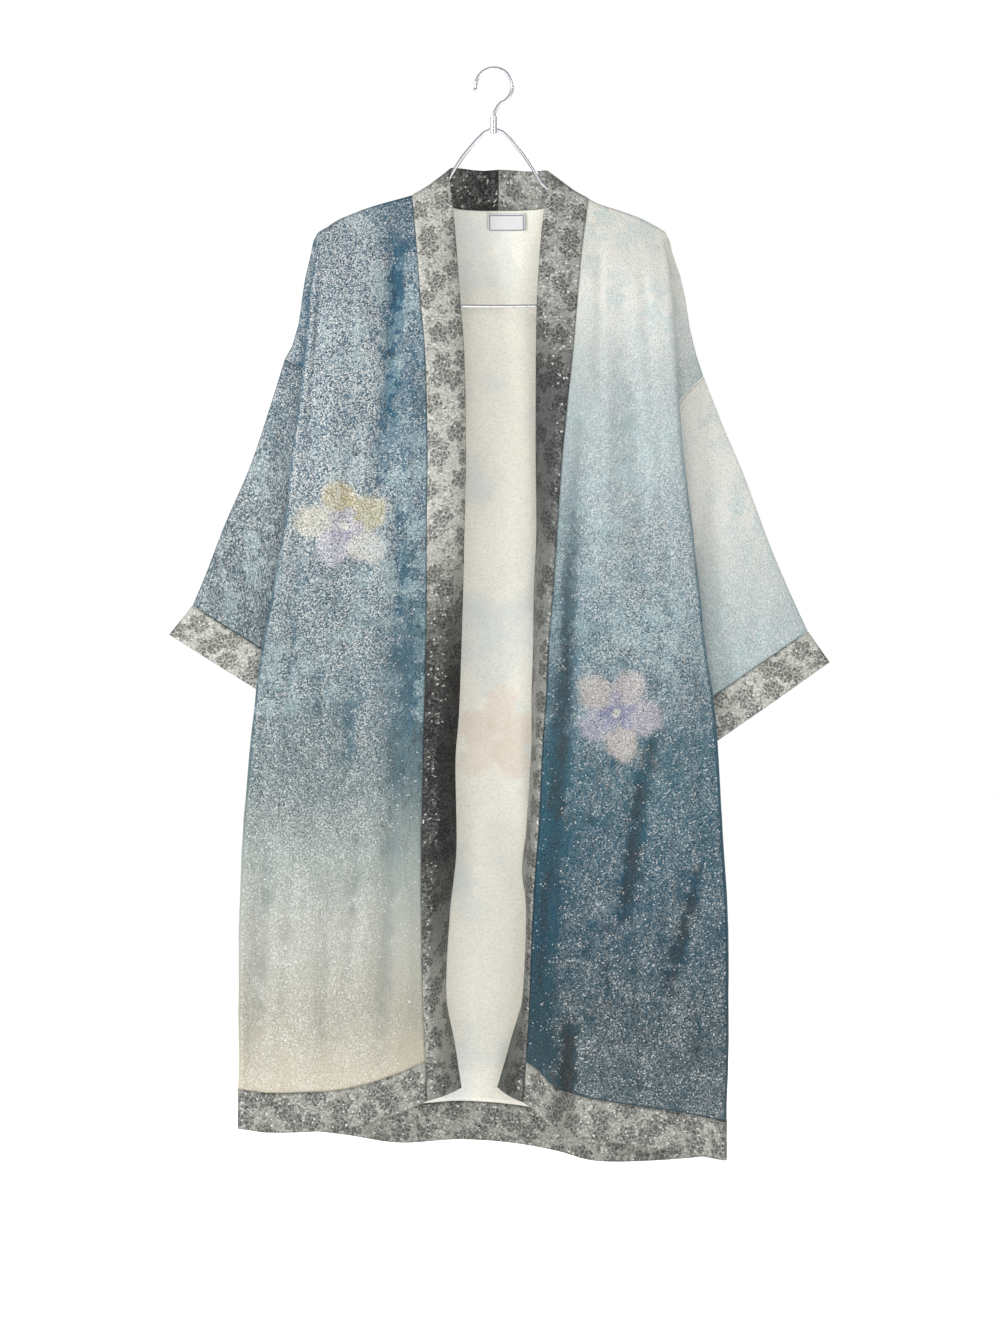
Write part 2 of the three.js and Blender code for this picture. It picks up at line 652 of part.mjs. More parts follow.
// The hanger: one bent wire loop with its bar, a collar and the hook
function hanger() {
  const half = HANGER_HALF.map(({ x, z }) => point(x, 0, z));
  const mirrored = [...half].reverse().map((p) => point(-p.x, 0, p.z));
  const loop = new THREE.CatmullRomCurve3(
    [point(0, 0, HANGER_TOP), ...half, ...mirrored],
    true,
    "centripetal",
  );
  const wire = solid(new THREE.TubeGeometry(loop, 76, WIRE_RADIUS, 8, true));
  const centre = WIRE_RADIUS - HOOK_RADIUS;
  const route = [point(0, 0, HANGER_TOP), point(0, 0, centre - HOOK_RADIUS - 12)];
  for (let degrees = -70; degrees <= 195; degrees += 20) {
    const angle = THREE.MathUtils.degToRad(degrees);
    route.push(point(HOOK_RADIUS * Math.cos(angle), 0, centre + HOOK_RADIUS * Math.sin(angle)));
  }
  const profile = new THREE.Shape().absarc(0, 0, WIRE_RADIUS, 0, 2 * Math.PI);
  const hook = solid(
    new THREE.ExtrudeGeometry(profile, {
      extrudePath: new THREE.CatmullRomCurve3(route, false, "centripetal"),
      steps: 28,
      curveSegments: 4,
      bevelEnabled: false,
    }),
  );
  const tip = new THREE.SphereGeometry(WIRE_RADIUS * 1.4, 10, 6);
  const end = route[route.length - 1];
  tip.translate(end.x, end.y, end.z);
  const collar = new THREE.CylinderGeometry(COLLAR_RADIUS, COLLAR_RADIUS, 20, 16);
  collar.rotateX(Math.PI / 2);
  collar.translate(0, 0, HANGER_TOP + 4);
  return fromSolid(wire.add(hook).add(solid(tip)).add(solid(collar)));
}

// The finishes
const cloth = (color, roughness) => ({ color, roughness, metalness: 0.15 });
const DENIM_BLUE = cloth("#6f8da3", 0.55);
const PALE_BLUE = cloth("#8fa5b6", 0.55);
const CREAM = cloth("#c9ccc9", 0.6);
const CHARCOAL = cloth("#6e7074", 0.6);
const SILVER_GREY = cloth("#a3a5a6", 0.6);
const WHITE_WOVEN = cloth("#e9e6dd", 0.8);
const CHROME = { color: "#d6d8dc", roughness: 0.15, metalness: 1 };

const jacket = new THREE.Group();
function add(name, geometry, finish) {
  const piece = new THREE.Mesh(geometry, new THREE.MeshStandardMaterial(finish));
  piece.name = name;
  jacket.add(piece);
}

for (const side of ["right", "left"]) {
  const lines = LEVELS.map((level) => frontLine(side, level));
  add(`front_${side}`, wall(lines, CLOTH), side === "right" ? DENIM_BLUE : PALE_BLUE);
  add(`hem_band_${side}`, wall(hemBand(lines[lines.length - 1]), TRIM), SILVER_GREY);
  add(`neckband_${side}`, wall(neckband(side), DOUBLED), CHARCOAL);
  add(`sleeve_${side}`, wall(sleeve(side), CLOTH, true), PALE_BLUE);
  add(`cuff_${side}`, wall(cuff(side), TRIM, true), SILVER_GREY);
}
const backLines = LEVELS.map((level) => backLine(level));
add("back", wall(backLines, CLOTH), CREAM);
add("hem_band_back", wall(hemBand(backLines[backLines.length - 1]), TRIM), SILVER_GREY);
add("neck_label", wall(neckLabel(), WOVEN_LABEL), WHITE_WOVEN);
add("hanger", hanger(), CHROME);

export default jacket;
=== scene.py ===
"""A long open kimono jacket of crinkled jacquard on a wire hanger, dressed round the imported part.

Sizes are in millimetres, in the part's frame, and become metres where a mesh is made.
Left and right are the wearer's: the right front hangs at -X, and the front faces -Y.
"""

import logging
import math
from bisect import bisect_right
from dataclasses import dataclass, field
from enum import Enum
from functools import partial
from typing import Any, Callable, NamedTuple, Optional, Sequence, Union

import bpy
import numpy as np
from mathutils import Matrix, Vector, noise


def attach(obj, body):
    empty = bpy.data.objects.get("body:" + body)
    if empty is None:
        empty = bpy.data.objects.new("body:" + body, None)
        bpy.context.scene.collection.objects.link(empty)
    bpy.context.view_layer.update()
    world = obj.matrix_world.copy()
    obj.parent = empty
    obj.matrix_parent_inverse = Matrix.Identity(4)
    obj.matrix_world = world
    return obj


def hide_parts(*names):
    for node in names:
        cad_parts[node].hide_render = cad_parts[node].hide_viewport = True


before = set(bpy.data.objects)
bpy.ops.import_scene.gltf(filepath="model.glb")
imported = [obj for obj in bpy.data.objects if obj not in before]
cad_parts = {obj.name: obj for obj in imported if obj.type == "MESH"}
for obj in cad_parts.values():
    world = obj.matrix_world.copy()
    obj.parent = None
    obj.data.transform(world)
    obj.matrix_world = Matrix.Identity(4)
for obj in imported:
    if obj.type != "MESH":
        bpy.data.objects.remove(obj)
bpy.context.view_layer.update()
LOG = logging.getLogger("kimono_jacket")
METRES = 0.001

Grid = list[list[Vector]]


class Side(Enum):
    """The wearer's side, with the sign of X there."""

    RIGHT = -1
    LEFT = 1

    @property
    def word(self) -> str:
        """The side's name in a node's name."""
        return self.name.lower()


class Held(Enum):
    """How a sheet of cloth is held."""

    HUNG = "hung"
    LAID = "laid"


# ---- Reading of shapes from tables


class Table:
    """Rows of one kind with named columns, read at any place along their first column."""

    def __init__(self, kind: type[NamedTuple], rows: Sequence[tuple[float, ...]]) -> None:
        """Sorts the rows by their first column.

        Args:
            kind: The named tuple that names the columns.
            rows: One value for each column.
        """
        ordered = sorted(rows, key=lambda row: row[0])
        self.columns = dict(zip(kind._fields, zip(*ordered)))
        self.keys = self.columns[kind._fields[0]]

    def at(self, column: str, place: float, curved: bool = True) -> float:
        """Reads one column at a place between the rows.

        Args:
            column: The column's name.
            place: A value of the first column.
            curved: A smooth curve through the rows, or straight steps.

        Returns:
            The column's value there.
        """
        keys, values = self.keys, self.columns[column]
        last = len(keys) - 1
        place = min(max(place, keys[0]), keys[last])
        i = min(max(bisect_right(keys, place) - 1, 0), last - 1)
        span = keys[i + 1] - keys[i]
        t = (place - keys[i]) / span
        if not curved:
            return lerp(values[i], values[i + 1], t)

        def slope(k: int) -> float:
            """The curve's slope at a row."""
            a, b = max(0, k - 1), min(last, k + 1)
            return (values[b] - values[a]) / (keys[b] - keys[a])

        t2, t3 = t * t, t * t * t
        return (
            values[i] * (2 * t3 - 3 * t2 + 1)
            + values[i + 1] * (3 * t2 - 2 * t3)
            + slope(i) * span * (t3 - 2 * t2 + t)
            + slope(i + 1) * span * (t3 - t2)
        )


def lerp(a: float, b: float, t: float) -> float:
    """A value between a and b."""
    return a + (b - a) * t


def smooth(value: float, low: float, high: float) -> float:
    """A soft step from 0 at low to 1 at high."""
    t = min(max((value - low) / (high - low), 0.0), 1.0)
    return t * t * (3 - 2 * t)


class FrontRow(NamedTuple):
    """A front at one height: the seam to its band, the band's free edge and the outer fold edge."""

    z: float
    seam: float
    edge: float
    fold: float


class SideRow(NamedTuple):
    """Where a front ends at the back, at one level from the shoulder (0) to the hem seam (1)."""

    level: float
    x: float
    z: float


class PlaceRow(NamedTuple):
    """A point of a line seen from the front."""

    x: float
    z: float


class HemRow(NamedTuple):
    """The hem seam's height at a share of the panel's width."""

    across: float
    z: float


class NeckRow(NamedTuple):
    """A point of the neckline's seam, and the neckband's free edge above it."""

    x: float
    y: float
    z: float
    free_x: float
    free_z: float


class DepthRow(NamedTuple):
    """How far the panels stand from the middle plane at one height."""

    z: float
    seam: float
    front: float
    back: float


class TubeRow(NamedTuple):
    """A section of a flat tube, from its top fold to its underside."""

    t: float
    top_x: float
    top_z: float
    under_x: float
    under_z: float


class Fold(NamedTuple):
    """A soft trough (or a ridge, where the depth is negative) from its upper to its lower end."""

    x0: float
    z0: float
    x1: float
    z1: float
    width: float
    depth: float


def fold_lists(panels: dict[str, Sequence[tuple[float, ...]]]) -> dict[str, list[Fold]]:
    """Turns each panel's rows of numbers into folds."""
    return {panel: [Fold(*row) for row in rows] for panel, rows in panels.items()}


FRONTS = {
    Side.RIGHT: Table(FrontRow, (
        (-151, -98, -54, -209), (-216, -92, -47, -212), (-283, -87, -41, -221),
        (-341, -82, -36, -226), (-458, -79, -34, -240), (-553, -80, -36, -251),
        (-639, -80, -38, -266), (-701, -81, -40, -278), (-776, -83, -43, -287),
        (-827, -84, -47, -292), (-936, -86, -46, -300), (-1014, -86, -54, -303),
        (-1117, -84, -58, -304), (-1184, -81, -47, -303), (-1235, -79, -39, -305),
    )),
    Side.LEFT: Table(FrontRow, (
        (-155, 113, 67, 202), (-216, 105, 57, 207), (-281, 99, 52, 213), (-339, 94, 51, 217),
        (-465, 81, 51, 226), (-553, 75, 52, 237), (-628, 70, 49, 245), (-689, 65, 48, 251),
        (-752, 62, 46, 261), (-807, 58, 46, 266), (-910, 53, 40, 272), (-961, 49, 35, 275),
        (-1014, 46, 41, 278), (-1115, 42, 36, 279), (-1184, 38, 19, 279), (-1235, 33, 4, 277),
    )),
}
SIDES = {
    Side.RIGHT: Table(SideRow, (
        (0, -216, -204), (0.02, -220, -224), (0.056, -226, -249), (0.08, -230, -275),
        (0.11, -234, -305), (0.135, -242, -332), (0.15, -250, -346), (0.165, -230, -358),
        (0.2, -212, -390), (0.24, -196, -432), (0.285, -183, -478), (0.32, -170, -526),
        (0.33, -166, -535), (0.38, -163, -588), (0.48, -171, -690), (0.55, -188, -762),
        (0.62, -222, -834), (0.73, -270, -945), (0.85, -294, -1068), (1, -302, -1218),
    )),
    Side.LEFT: Table(SideRow, (
        (0, 210, -204), (0.02, 214, -221), (0.056, 223, -247), (0.08, 229, -273), (0.11, 235, -312),
        (0.135, 243, -344), (0.15, 251, -368), (0.165, 233, -384), (0.2, 210, -413),
        (0.24, 196, -454), (0.285, 183, -500), (0.32, 170, -546), (0.33, 166, -555),
        (0.38, 163, -606), (0.48, 174, -704), (0.55, 190, -780), (0.62, 216, -846),
        (0.73, 250, -950), (0.85, 270, -1078), (1, 276, -1255),
    )),
}
SHOULDERS = {
    Side.RIGHT: [PlaceRow(*row) for row in (
        (-98, -151), (-148, -165), (-174, -175), (-187, -181), (-200, -190),
    )],
    Side.LEFT: [PlaceRow(*row) for row in (
        (113, -155), (128, -162), (153, -170), (178, -180), (193, -189),
    )],
}
HEM_SEAMS = {
    Side.RIGHT: Table(HemRow, (
        (0, -1184), (0.12, -1196), (0.29, -1209), (0.46, -1218), (0.63, -1221), (0.86, -1222),
        (1, -1218),
    )),
    Side.LEFT: Table(HemRow, (
        (0, -1185), (0.063, -1195), (0.13, -1210), (0.185, -1220), (0.25, -1224), (0.42, -1232),
        (0.8, -1246), (1, -1255),
    )),
}
BACK_HEM = Table(HemRow, (
    (0, -1224), (0.2, -1236), (0.32, -1246), (0.45, -1242), (0.56, -1246), (0.66, -1256),
    (0.74, -1268), (0.86, -1268), (1, -1262),
))
NECKLINE = [NeckRow(*row) for row in (
    (-98, 0.9, -151, -54, -122), (-93, 5, -153, -52, -118), (-85, 10, -155.5, -49, -116),
    (-73, 15, -158.5, -44, -115), (-57, 20, -161.5, -35, -115), (-38, 23.5, -164, -25, -116),
    (-17, 25.5, -165, -12, -116.5), (6, 26, -165, 6, -115), (29, 25.5, -165, 24, -116),
    (50, 23.5, -164, 37, -117.5), (69, 20, -162, 47, -118), (86, 15, -160, 55, -118.5),
    (99, 10, -158, 60.5, -119), (108, 5, -156.5, 64.5, -121), (113, 0.9, -155, 67, -124),
)]
CENTRE_BACK = 7
DEPTHS = Table(DepthRow, (
    (-150, 14, 16, 20), (-216, 20, 22, 25), (-400, 27, 27, 28), (-700, 28, 27, 28),
    (-1000, 32, 30, 30), (-1260, 36, 34, 32),
))
SLEEVES = {
    Side.RIGHT: Table(TubeRow, (
        (0, -250, -346, -170, -526), (0.2, -270, -410, -172, -570), (0.4, -293, -478, -174, -610),
        (0.6, -323, -547, -179, -655), (0.8, -344, -602, -188, -700), (1, -361, -643, -200, -744),
    )),
    Side.LEFT: Table(TubeRow, (
        (0, 251, -368, 170, -546), (0.2, 273, -424, 173, -590), (0.4, 300, -488, 178, -640),
        (0.6, 330, -569, 190, -690), (0.8, 355, -628, 206, -738), (1, 376, -674, 222, -779),
    )),
}
CUFFS = {
    Side.RIGHT: Table(TubeRow, (
        (0, -361, -643, -200, -744), (1, -389, -678, -228, -778),
    )),
    Side.LEFT: Table(TubeRow, (
        (0, 376, -674, 222, -779), (1, 402, -711, 246, -820),
    )),
}

# The largest folds, as in the part, then the main creases that only the cloth's own surface has
FOLDS = fold_lists({
    "right": (
        (-113, -176, -140, -560, 15, 8), (-180, -230, -205, -620, 18, -4),
        (-163, -700, -180, -860, 14, 4), (-119, -880, -136, -1190, 15, 6),
        (-266, -900, -285, -1215, 13, 5), (-215, -950, -225, -1215, 22, -5),
    ),
    "left": (
        (108, -400, 70, -1040, 15, 6), (150, -240, 175, -640, 20, 5),
        (184, -800, 152, -1040, 16, 6), (248, -940, 205, -1120, 15, 5),
        (92, -1120, 84, -1300, 16, 9), (220, -640, 232, -980, 20, -4),
    ),
    "back": (
        (-130, -200, -165, -900, 20, 6), (-60, -420, -95, -1230, 24, 6),
        (20, -240, 12, -900, 22, 5), (60, -640, 100, -1240, 24, 7), (140, -220, 180, -860, 20, 6),
    ),
})
CREASES = fold_lists({
    "right": (
        (-124, -190, -112, -330, 6, 2.2), (-150, -210, -168, -420, 8, -1.8),
        (-206, -222, -222, -480, 7, 3.0), (-116, -330, -112, -560, 11, 3.0),
        (-110, -500, -118, -760, 13, 4.0), (-112, -770, -122, -910, 10, 2.6),
        (-92, -905, -205, -1010, 26, 3.4), (-92, -1000, -215, -1105, 28, -3.0),
        (-96, -1056, -190, -1160, 25, 3.0), (-208, -995, -286, -1085, 24, 2.8),
        (-100, -330, -104, -600, 7, -1.6), (-165, -430, -190, -660, 8, 2.0),
        (-228, -520, -244, -760, 7, 2.0), (-98, -640, -106, -870, 7, 1.8),
        (-140, -640, -150, -800, 8, -1.8), (-205, -700, -216, -930, 8, 2.2),
        (-250, -720, -262, -900, 7, -1.8), (-160, -905, -172, -1120, 8, 2.4),
        (-196, -985, -204, -1190, 7, 2.0), (-240, -940, -254, -1180, 7, 2.0),
        (-102, -960, -100, -1150, 6, -1.5), (-282, -1000, -290, -1190, 6, 1.6),
    ),
    "left": (
        (128, -190, 124, -400, 7, 2.0), (176, -210, 190, -420, 8, 2.0),
        (140, -330, 132, -640, 8, -1.8), (196, -430, 210, -660, 7, 2.2),
        (110, -560, 100, -860, 7, -1.6), (158, -660, 146, -860, 8, 2.2),
        (214, -690, 206, -900, 7, -1.8), (240, -760, 252, -960, 7, 1.8),
        (120, -860, 112, -1080, 8, 2.2), (196, -930, 184, -1150, 8, -2.0),
        (134, -1010, 138, -1210, 7, 2.2), (170, -1060, 176, -1230, 7, 2.0),
        (238, -1060, 246, -1230, 7, 2.0), (64, -960, 58, -1130, 6, 1.8),
    ),
    "back": (
        (-100, -210, -112, -520, 9, 2.0), (-40, -230, -46, -560, 8, -1.6),
        (80, -240, 92, -600, 9, 2.0), (-170, -330, -190, -640, 8, 2.2),
        (-120, -620, -136, -980, 9, -2.0), (30, -700, 40, -1010, 8, 2.0),
        (-20, -860, -30, -1200, 10, 2.4), (130, -720, 150, -1100, 9, -2.0),
        (200, -640, 218, -1000, 9, 2.2), (-190, -820, -214, -1200, 9, 2.2),
        (170, -980, 190, -1240, 8, 2.2), (-240, -900, -256, -1190, 8, 2.0),
    ),
    "sleeve_right": (
        (-258, -390, -236, -560, 9, 2.6), (-288, -480, -262, -640, 10, -2.2),
        (-312, -540, -300, -670, 8, 2.4), (-236, -470, -216, -640, 9, 2.2),
        (-338, -600, -326, -664, 7, 1.8), (-250, -610, -238, -710, 8, -1.8),
    ),
    "sleeve_left": (
        (262, -420, 244, -600, 10, 2.6), (294, -500, 276, -680, 10, -2.2),
        (324, -570, 312, -700, 8, 2.4), (246, -560, 236, -720, 9, 2.2),
        (350, -630, 340, -696, 7, 1.8), (268, -640, 262, -745, 8, -1.8),
    ),
})


# ---- The form in which the cloth hangs


def fold_at(folds: Sequence[Fold], x: float, z: float) -> float:
    """How far the folds push the cloth inwards at a place seen from the front.

    Args:
        folds: The troughs and ridges of one panel.
        x: The place across.
        z: The place in height.

    Returns:
        The depth there, in millimetres.
    """
    total = 0.0
    for fold in folds:
        t = (fold.z0 - z) / (fold.z0 - fold.z1)
        if 0 < t < 1:
            offset = (x - lerp(fold.x0, fold.x1, t)) / fold.width
            if abs(offset) < 3:
                total += fold.depth * math.exp(-offset * offset) * math.sqrt(math.sin(math.pi * t))
    return total


# How far from the middle plane a layer lies where the front and the back meet
MEETING = 0.9


@dataclass(frozen=True)
class HangingForm:
    """The sections of the garment on its hanger, worked out from a few sizes."""

    # Millimetres
    layer: float = 1.5
    seam_gap: float = 0.4
    band_width: float = 48
    hem_height: float = 47
    sleeve_half_depth: float = 9
    fold_over_wire: float = 3.5
    meeting: float = MEETING
    behind_fold: float = 13
    laid_on_sleeve: float = 11.6
    turn_at_top: float = 9
    turn_at_hem: float = 5
    panel_length: float = 1050
    back_inset: float = 4
    hairpin_reach: float = 25
    neck_rise: float = 29
    hem_rise: float = 12
    deepest_curl: float = -8
    # Levels down a panel, from the shoulder fold (0) to the hem seam (1)
    armhole_top: float = 0.15
    armhole_foot: float = 0.32
    panel_open_by: float = 0.11
    edge_open_by: float = 0.045
    folds_full_by: float = 0.06
    level_marks: tuple[float, ...] = (
        0, 0.0012, 0.0035, 0.009, 0.02, 0.036, 0.056, 0.08, 0.11, 0.135, 0.15, 0.165, 0.2, 0.24,
        0.285, 0.32, 0.33, 0.38, 0.55, 1,
    )
    # Shares and counts
    hem_flare: float = 0.06
    curl_share: float = 0.85
    back_share: float = 0.6
    turn_steps: int = 12
    strip_steps: int = 8

    def levels(self, step: float) -> list[float]:
        """Places down the panels, from the shoulder fold (0) to the hem seam (1).

        Args:
            step: The largest distance between two of them.

        Returns:
            The places, with the marks among them.
        """
        found = [self.level_marks[0]]
        for low, high in zip(self.level_marks, self.level_marks[1:]):
            count = math.ceil((high - low) * self.panel_length / step)
            found += [lerp(low, high, k / count) for k in range(1, count + 1)]
        return found

    def opening_depth(self, full: float, level: float, top_depth: float = MEETING) -> float:
        """Depth of a panel: it rounds over the hanger's wire, then opens to its full depth.

        Args:
            full: The depth well below the shoulder.
            level: The place down the panel.
            top_depth: The depth at the top line.

        Returns:
            The depth at that level.
        """
        drop = min(level * self.panel_length / self.fold_over_wire, 1.0)
        rounding = math.sqrt(1 - (1 - drop) ** 2)
        over_wire = self.meeting + (self.fold_over_wire - self.meeting) * rounding
        opened = 1 - (1 - min(level / self.panel_open_by, 1.0)) ** 2
        return lerp(max(top_depth, over_wire), full, opened)

    def sleeve_depth(self, across: float) -> float:
        """Half of the flat sleeve's thickness, from its top fold (0) to its underside (1)."""
        share = min(max(across, 0.0), 1.0)
        return self.sleeve_half_depth * max(math.sin(math.pi * share), 0.0) ** 0.6

    def side_depth(self, level: float) -> float:
        """Distance of a panel's last line from the middle plane.

        Args:
            level: The place down the panel.

        Returns:
            The distance: closed at the shoulder and the side seam, laid on the sleeve between.
        """
        across = (level - self.armhole_top) / (self.armhole_foot - self.armhole_top)
        if across <= 0 or across > 1.02:
            return self.meeting
        clear = lerp(self.meeting, self.layer + 1.5 * self.seam_gap, min(1.0, across * 8))
        return self.sleeve_depth(min(across, 0.9)) + clear

    def turn_reach(self, level: float) -> float:
        """How far a fold edge rounds over."""
        return lerp(self.turn_at_top, self.turn_at_hem, level)

    def turned_edge(
        self, side: Side, level: float, fold: float, fold_z: float, depth: float
    ) -> list[Vector]:
        """The turned edge of a panel: half an ellipse round the fold, then the layer behind it.

        Args:
            side: The wearer's side.
            level: The place down the panel.
            fold: X of the fold edge.
            fold_z: Its height.
            depth: The panel's depth before the edge.

        Returns:
            Points from the panel to the side seam, with Y as the depth.
        """
        end_x = SIDES[side].at("x", level, False)
        end_z = SIDES[side].at("z", level, False)
        reach = self.turn_reach(level)
        opened = smooth(level, 0, self.edge_open_by)
        behind = self.opening_depth(self.behind_fold, level)
        hairpin = smooth(side.value * (fold - end_x), 0, self.hairpin_reach)
        brink = fold - side.value * reach
        points = []
        # The edge is folded sharply at the shoulder, and rounded where it hangs open
        for k in range(self.turn_steps + 1):
            f = k / self.turn_steps
            angle = math.pi * f
            rounded = fold - side.value * reach * (1 - math.sin(angle))
            straight = lerp(brink, end_x, f * 2 / 3)
            y = lerp(depth, behind, (1 - math.cos(angle)) / 2)
            points.append(Vector((lerp(straight, rounded, opened), y, lerp(fold_z, end_z, 0.4 * f))))
        near = Vector(
            (
                lerp(brink, end_x, lerp(5 / 6, lerp(0.5, 0.86, hairpin), opened)),
                lerp(lerp(behind, self.side_depth(level), 0.5), self.laid_on_sleeve, hairpin),
                lerp(fold_z, end_z, 0.8),
            )
        )
        end = Vector((end_x, self.side_depth(level), end_z))
        for start, stop in ((points[-1].copy(), near), (near, end)):
            points += [start.lerp(stop, k / self.strip_steps) for k in range(1, self.strip_steps + 1)]
        return points

    def front_line(self, side: Side, level: float, columns: int) -> list[Vector]:
        """One front at one level, from the band seam to the side seam.

        Args:
            side: The wearer's side.
            level: The place down the panel.
            columns: How many steps to take across the front.

        Returns:
            The points of that line.
        """
        shoulder, rows = SHOULDERS[side], FRONTS[side]
        top_line = Table(PlaceRow, shoulder)
        creases = FOLDS[side.word] + CREASES[side.word]

        def height_at(across: float) -> float:
            """Height of the line at a share of the front's width."""
            top = top_line.at("z", lerp(shoulder[0].x, shoulder[-1].x, across))
            return lerp(top, HEM_SEAMS[side].at("z", across), level)

        reach = self.turn_reach(level)
        line = []
        for i in range(columns):
            across = i / columns
            z = height_at(across)
            seam = rows.at("seam", z) + side.value * 0.1
            x = lerp(seam, rows.at("fold", z) - side.value * reach, across)
            full = lerp(DEPTHS.at("seam", z), DEPTHS.at("front", z), smooth(across, 0, 0.5))
            full -= fold_at(creases, x, z) * smooth(level, 0, self.folds_full_by)
            line.append(Vector((x, -self.opening_depth(full, level), z)))
        fold_z = height_at(1)
        depth = self.opening_depth(DEPTHS.at("front", fold_z), level)
        edge = self.turned_edge(side, level, rows.at("fold", fold_z), fold_z, depth)
        return line + [Vector((p.x, -p.y, p.z)) for p in edge]

    def back_point(self, top_x: float, level: float) -> Vector:
        """A place on the back under a place on its top line.

        Args:
            top_x: X on the top line.
            level: The place down the panel.

        Returns:
            The point of the back.
        """
        right, left = SHOULDERS[Side.RIGHT][-1].x, SHOULDERS[Side.LEFT][-1].x
        across = (top_x - right) / (left - right)
        z = lerp(BACK_TOP.at("z", top_x, False), BACK_HEM.at("z", across), level)
        reach = self.turn_reach(level) + self.back_inset
        low = FRONTS[Side.RIGHT].at("fold", z) + reach
        high = FRONTS[Side.LEFT].at("fold", z) - reach
        x = lerp(top_x, lerp(low, high, across), smooth(level, 0, self.edge_open_by))
        folded = fold_at(FOLDS["back"] + CREASES["back"], x, z)
        full = DEPTHS.at("back", z) - folded * smooth(level, 0, self.folds_full_by)
        return Vector((x, self.opening_depth(full, level, BACK_TOP.at("y", top_x, False)), z))

    def back_line(self, level: float, columns: int) -> list[Vector]:
        """The back at one level, with its two turned edges.

        Args:
            level: The place down the panel.
            columns: How many steps to take between the edges.

        Returns:
            The points of that line, from right to left.
        """
        right, left = SHOULDERS[Side.RIGHT][-1].x, SHOULDERS[Side.LEFT][-1].x

        def edge(side: Side, top_x: float) -> list[Vector]:
            """The turned edge on one side."""
            z = self.back_point(top_x, level).z
            fold = FRONTS[side].at("fold", z) - side.value * self.back_inset
            depth = self.opening_depth(DEPTHS.at("back", z), level)
            return self.turned_edge(side, level, fold, z, depth)

        middle = [self.back_point(lerp(right, left, k / columns), level) for k in range(1, columns)]
        return [*reversed(edge(Side.RIGHT, right)), *middle, *edge(Side.LEFT, left)]

    def band_section(self, side: Side, level: float, drop: float, steps: int) -> list[Vector]:
        """A front band's section: in line with the panel at the seam, curling back to its free edge.

        Args:
            side: The wearer's side.
            level: The place down the panel.
            drop: How far below the hem seam.
            steps: How many steps to take across.

        Returns:
            The points from the seam to the free edge.
        """
        z = lerp(SHOULDERS[side][0].z, HEM_SEAMS[side].at("z", 0), level) - drop
        rise = self.neck_rise * (1 - smooth(level, 0, 0.2)) + self.hem_rise * smooth(level, 0.9, 1)
        seam, free = FRONTS[side].at("seam", z), FRONTS[side].at("edge", z)
        width = abs(seam - free)
        flare = 1 + self.hem_flare * drop / self.hem_height
        depth = self.opening_depth(DEPTHS.at("seam", z), level) * flare
        turned = math.sqrt(max(0.0, self.band_width**2 - width**2))
        curl = self.curl_share * turned * smooth(level, 0, 0.08)
        deepest = self.meeting if level < self.edge_open_by else self.deepest_curl
        free_depth = max(deepest, depth - curl)
        ahead = max(0.6 * width, 10)
        points = []
        # A quadratic curve that starts level with the panel
        for k in range(steps + 1):
            t = k / steps
            a, b, c = (1 - t) ** 2, 2 * t * (1 - t), t * t
            x = a * seam + b * (seam - side.value * ahead) + c * free
            points.append(Vector((x, -(a * depth + b * depth + c * free_depth), z + rise * t)))
        return points

    def tube_place(self, rows: Table, t: float, across: float) -> Vector:
        """A place on a flat tube, in its middle plane."""
        x = lerp(rows.at("top_x", t), rows.at("under_x", t), across)
        return Vector((x, 0, lerp(rows.at("top_z", t), rows.at("under_z", t), across)))

    def ring(
        self, place: Callable[[float], Vector], steps: int, creases: Sequence[Fold] = ()
    ) -> list[Vector]:
        """A flat tube's section, from its top fold round the front and the back layer.

        Args:
            place: Gives the middle plane's point at a share of the width.
            steps: How many steps to take on each layer.
            creases: Creases of the front layer. The back layer has them too, weaker.

        Returns:
            The ring's points.
        """
        front, back = [], []
        for k in range(steps + 1):
            across = (1 - math.cos(math.pi * k / steps)) / 2
            p = place(across)
            depth = 0.0 if k in (0, steps) else self.sleeve_depth(across)
            push = fold_at(creases, p.x, p.z) * math.sin(math.pi * across)
            front.append(Vector((p.x, -depth + push, p.z)))
            back.append(Vector((p.x, depth + self.back_share * push, p.z)))
        return front + back[-2:0:-1]


BACK_TOP = Table(NeckRow, [
    *(NeckRow(row.x, MEETING, row.z, 0, 0) for side in Side for row in SHOULDERS[side]),
    *NECKLINE[1:-1],
])
FORM = HangingForm()


# ---- Meshes


@dataclass(frozen=True)
class Cloth:
    """A cloth's body: how thick it is, and how far its crinkles stand out."""

    thickness: float
    relief: float


CRINKLED = Cloth(thickness=1.1, relief=1.0)
DOUBLE_TRIM = Cloth(thickness=1.8, relief=0.7)
DOUBLE_BAND = Cloth(thickness=2.2, relief=0.7)
WOVEN = Cloth(thickness=0.8, relief=0.0)
# The lengths of the cloth's waves along each axis, in millimetres, and the quick waves' own shift
SLOW_WAVE, QUICK_WAVE, QUICK_SHIFT = (34, 60, 78), (13, 30, 26), 7
# The most that a point is said to stand out of the cloth about it
HIGHEST_CREST = 6


def relief_at(p: Vector) -> float:
    """Slow, uneven waves of crinkled cloth, from -1 to 1, and still where the layers lie together.

    Args:
        p: A point of the cloth, in millimetres.

    Returns:
        The height of the waves there.
    """
    slow = noise.noise(Vector(c / size for c, size in zip(p, SLOW_WAVE)))
    x, y, z = (c / size for c, size in zip(p, QUICK_WAVE))
    quick = noise.noise(Vector((x, y + QUICK_SHIFT, z)))
    return (0.75 * slow + 0.35 * quick) * smooth(abs(p.y), 2, 12)


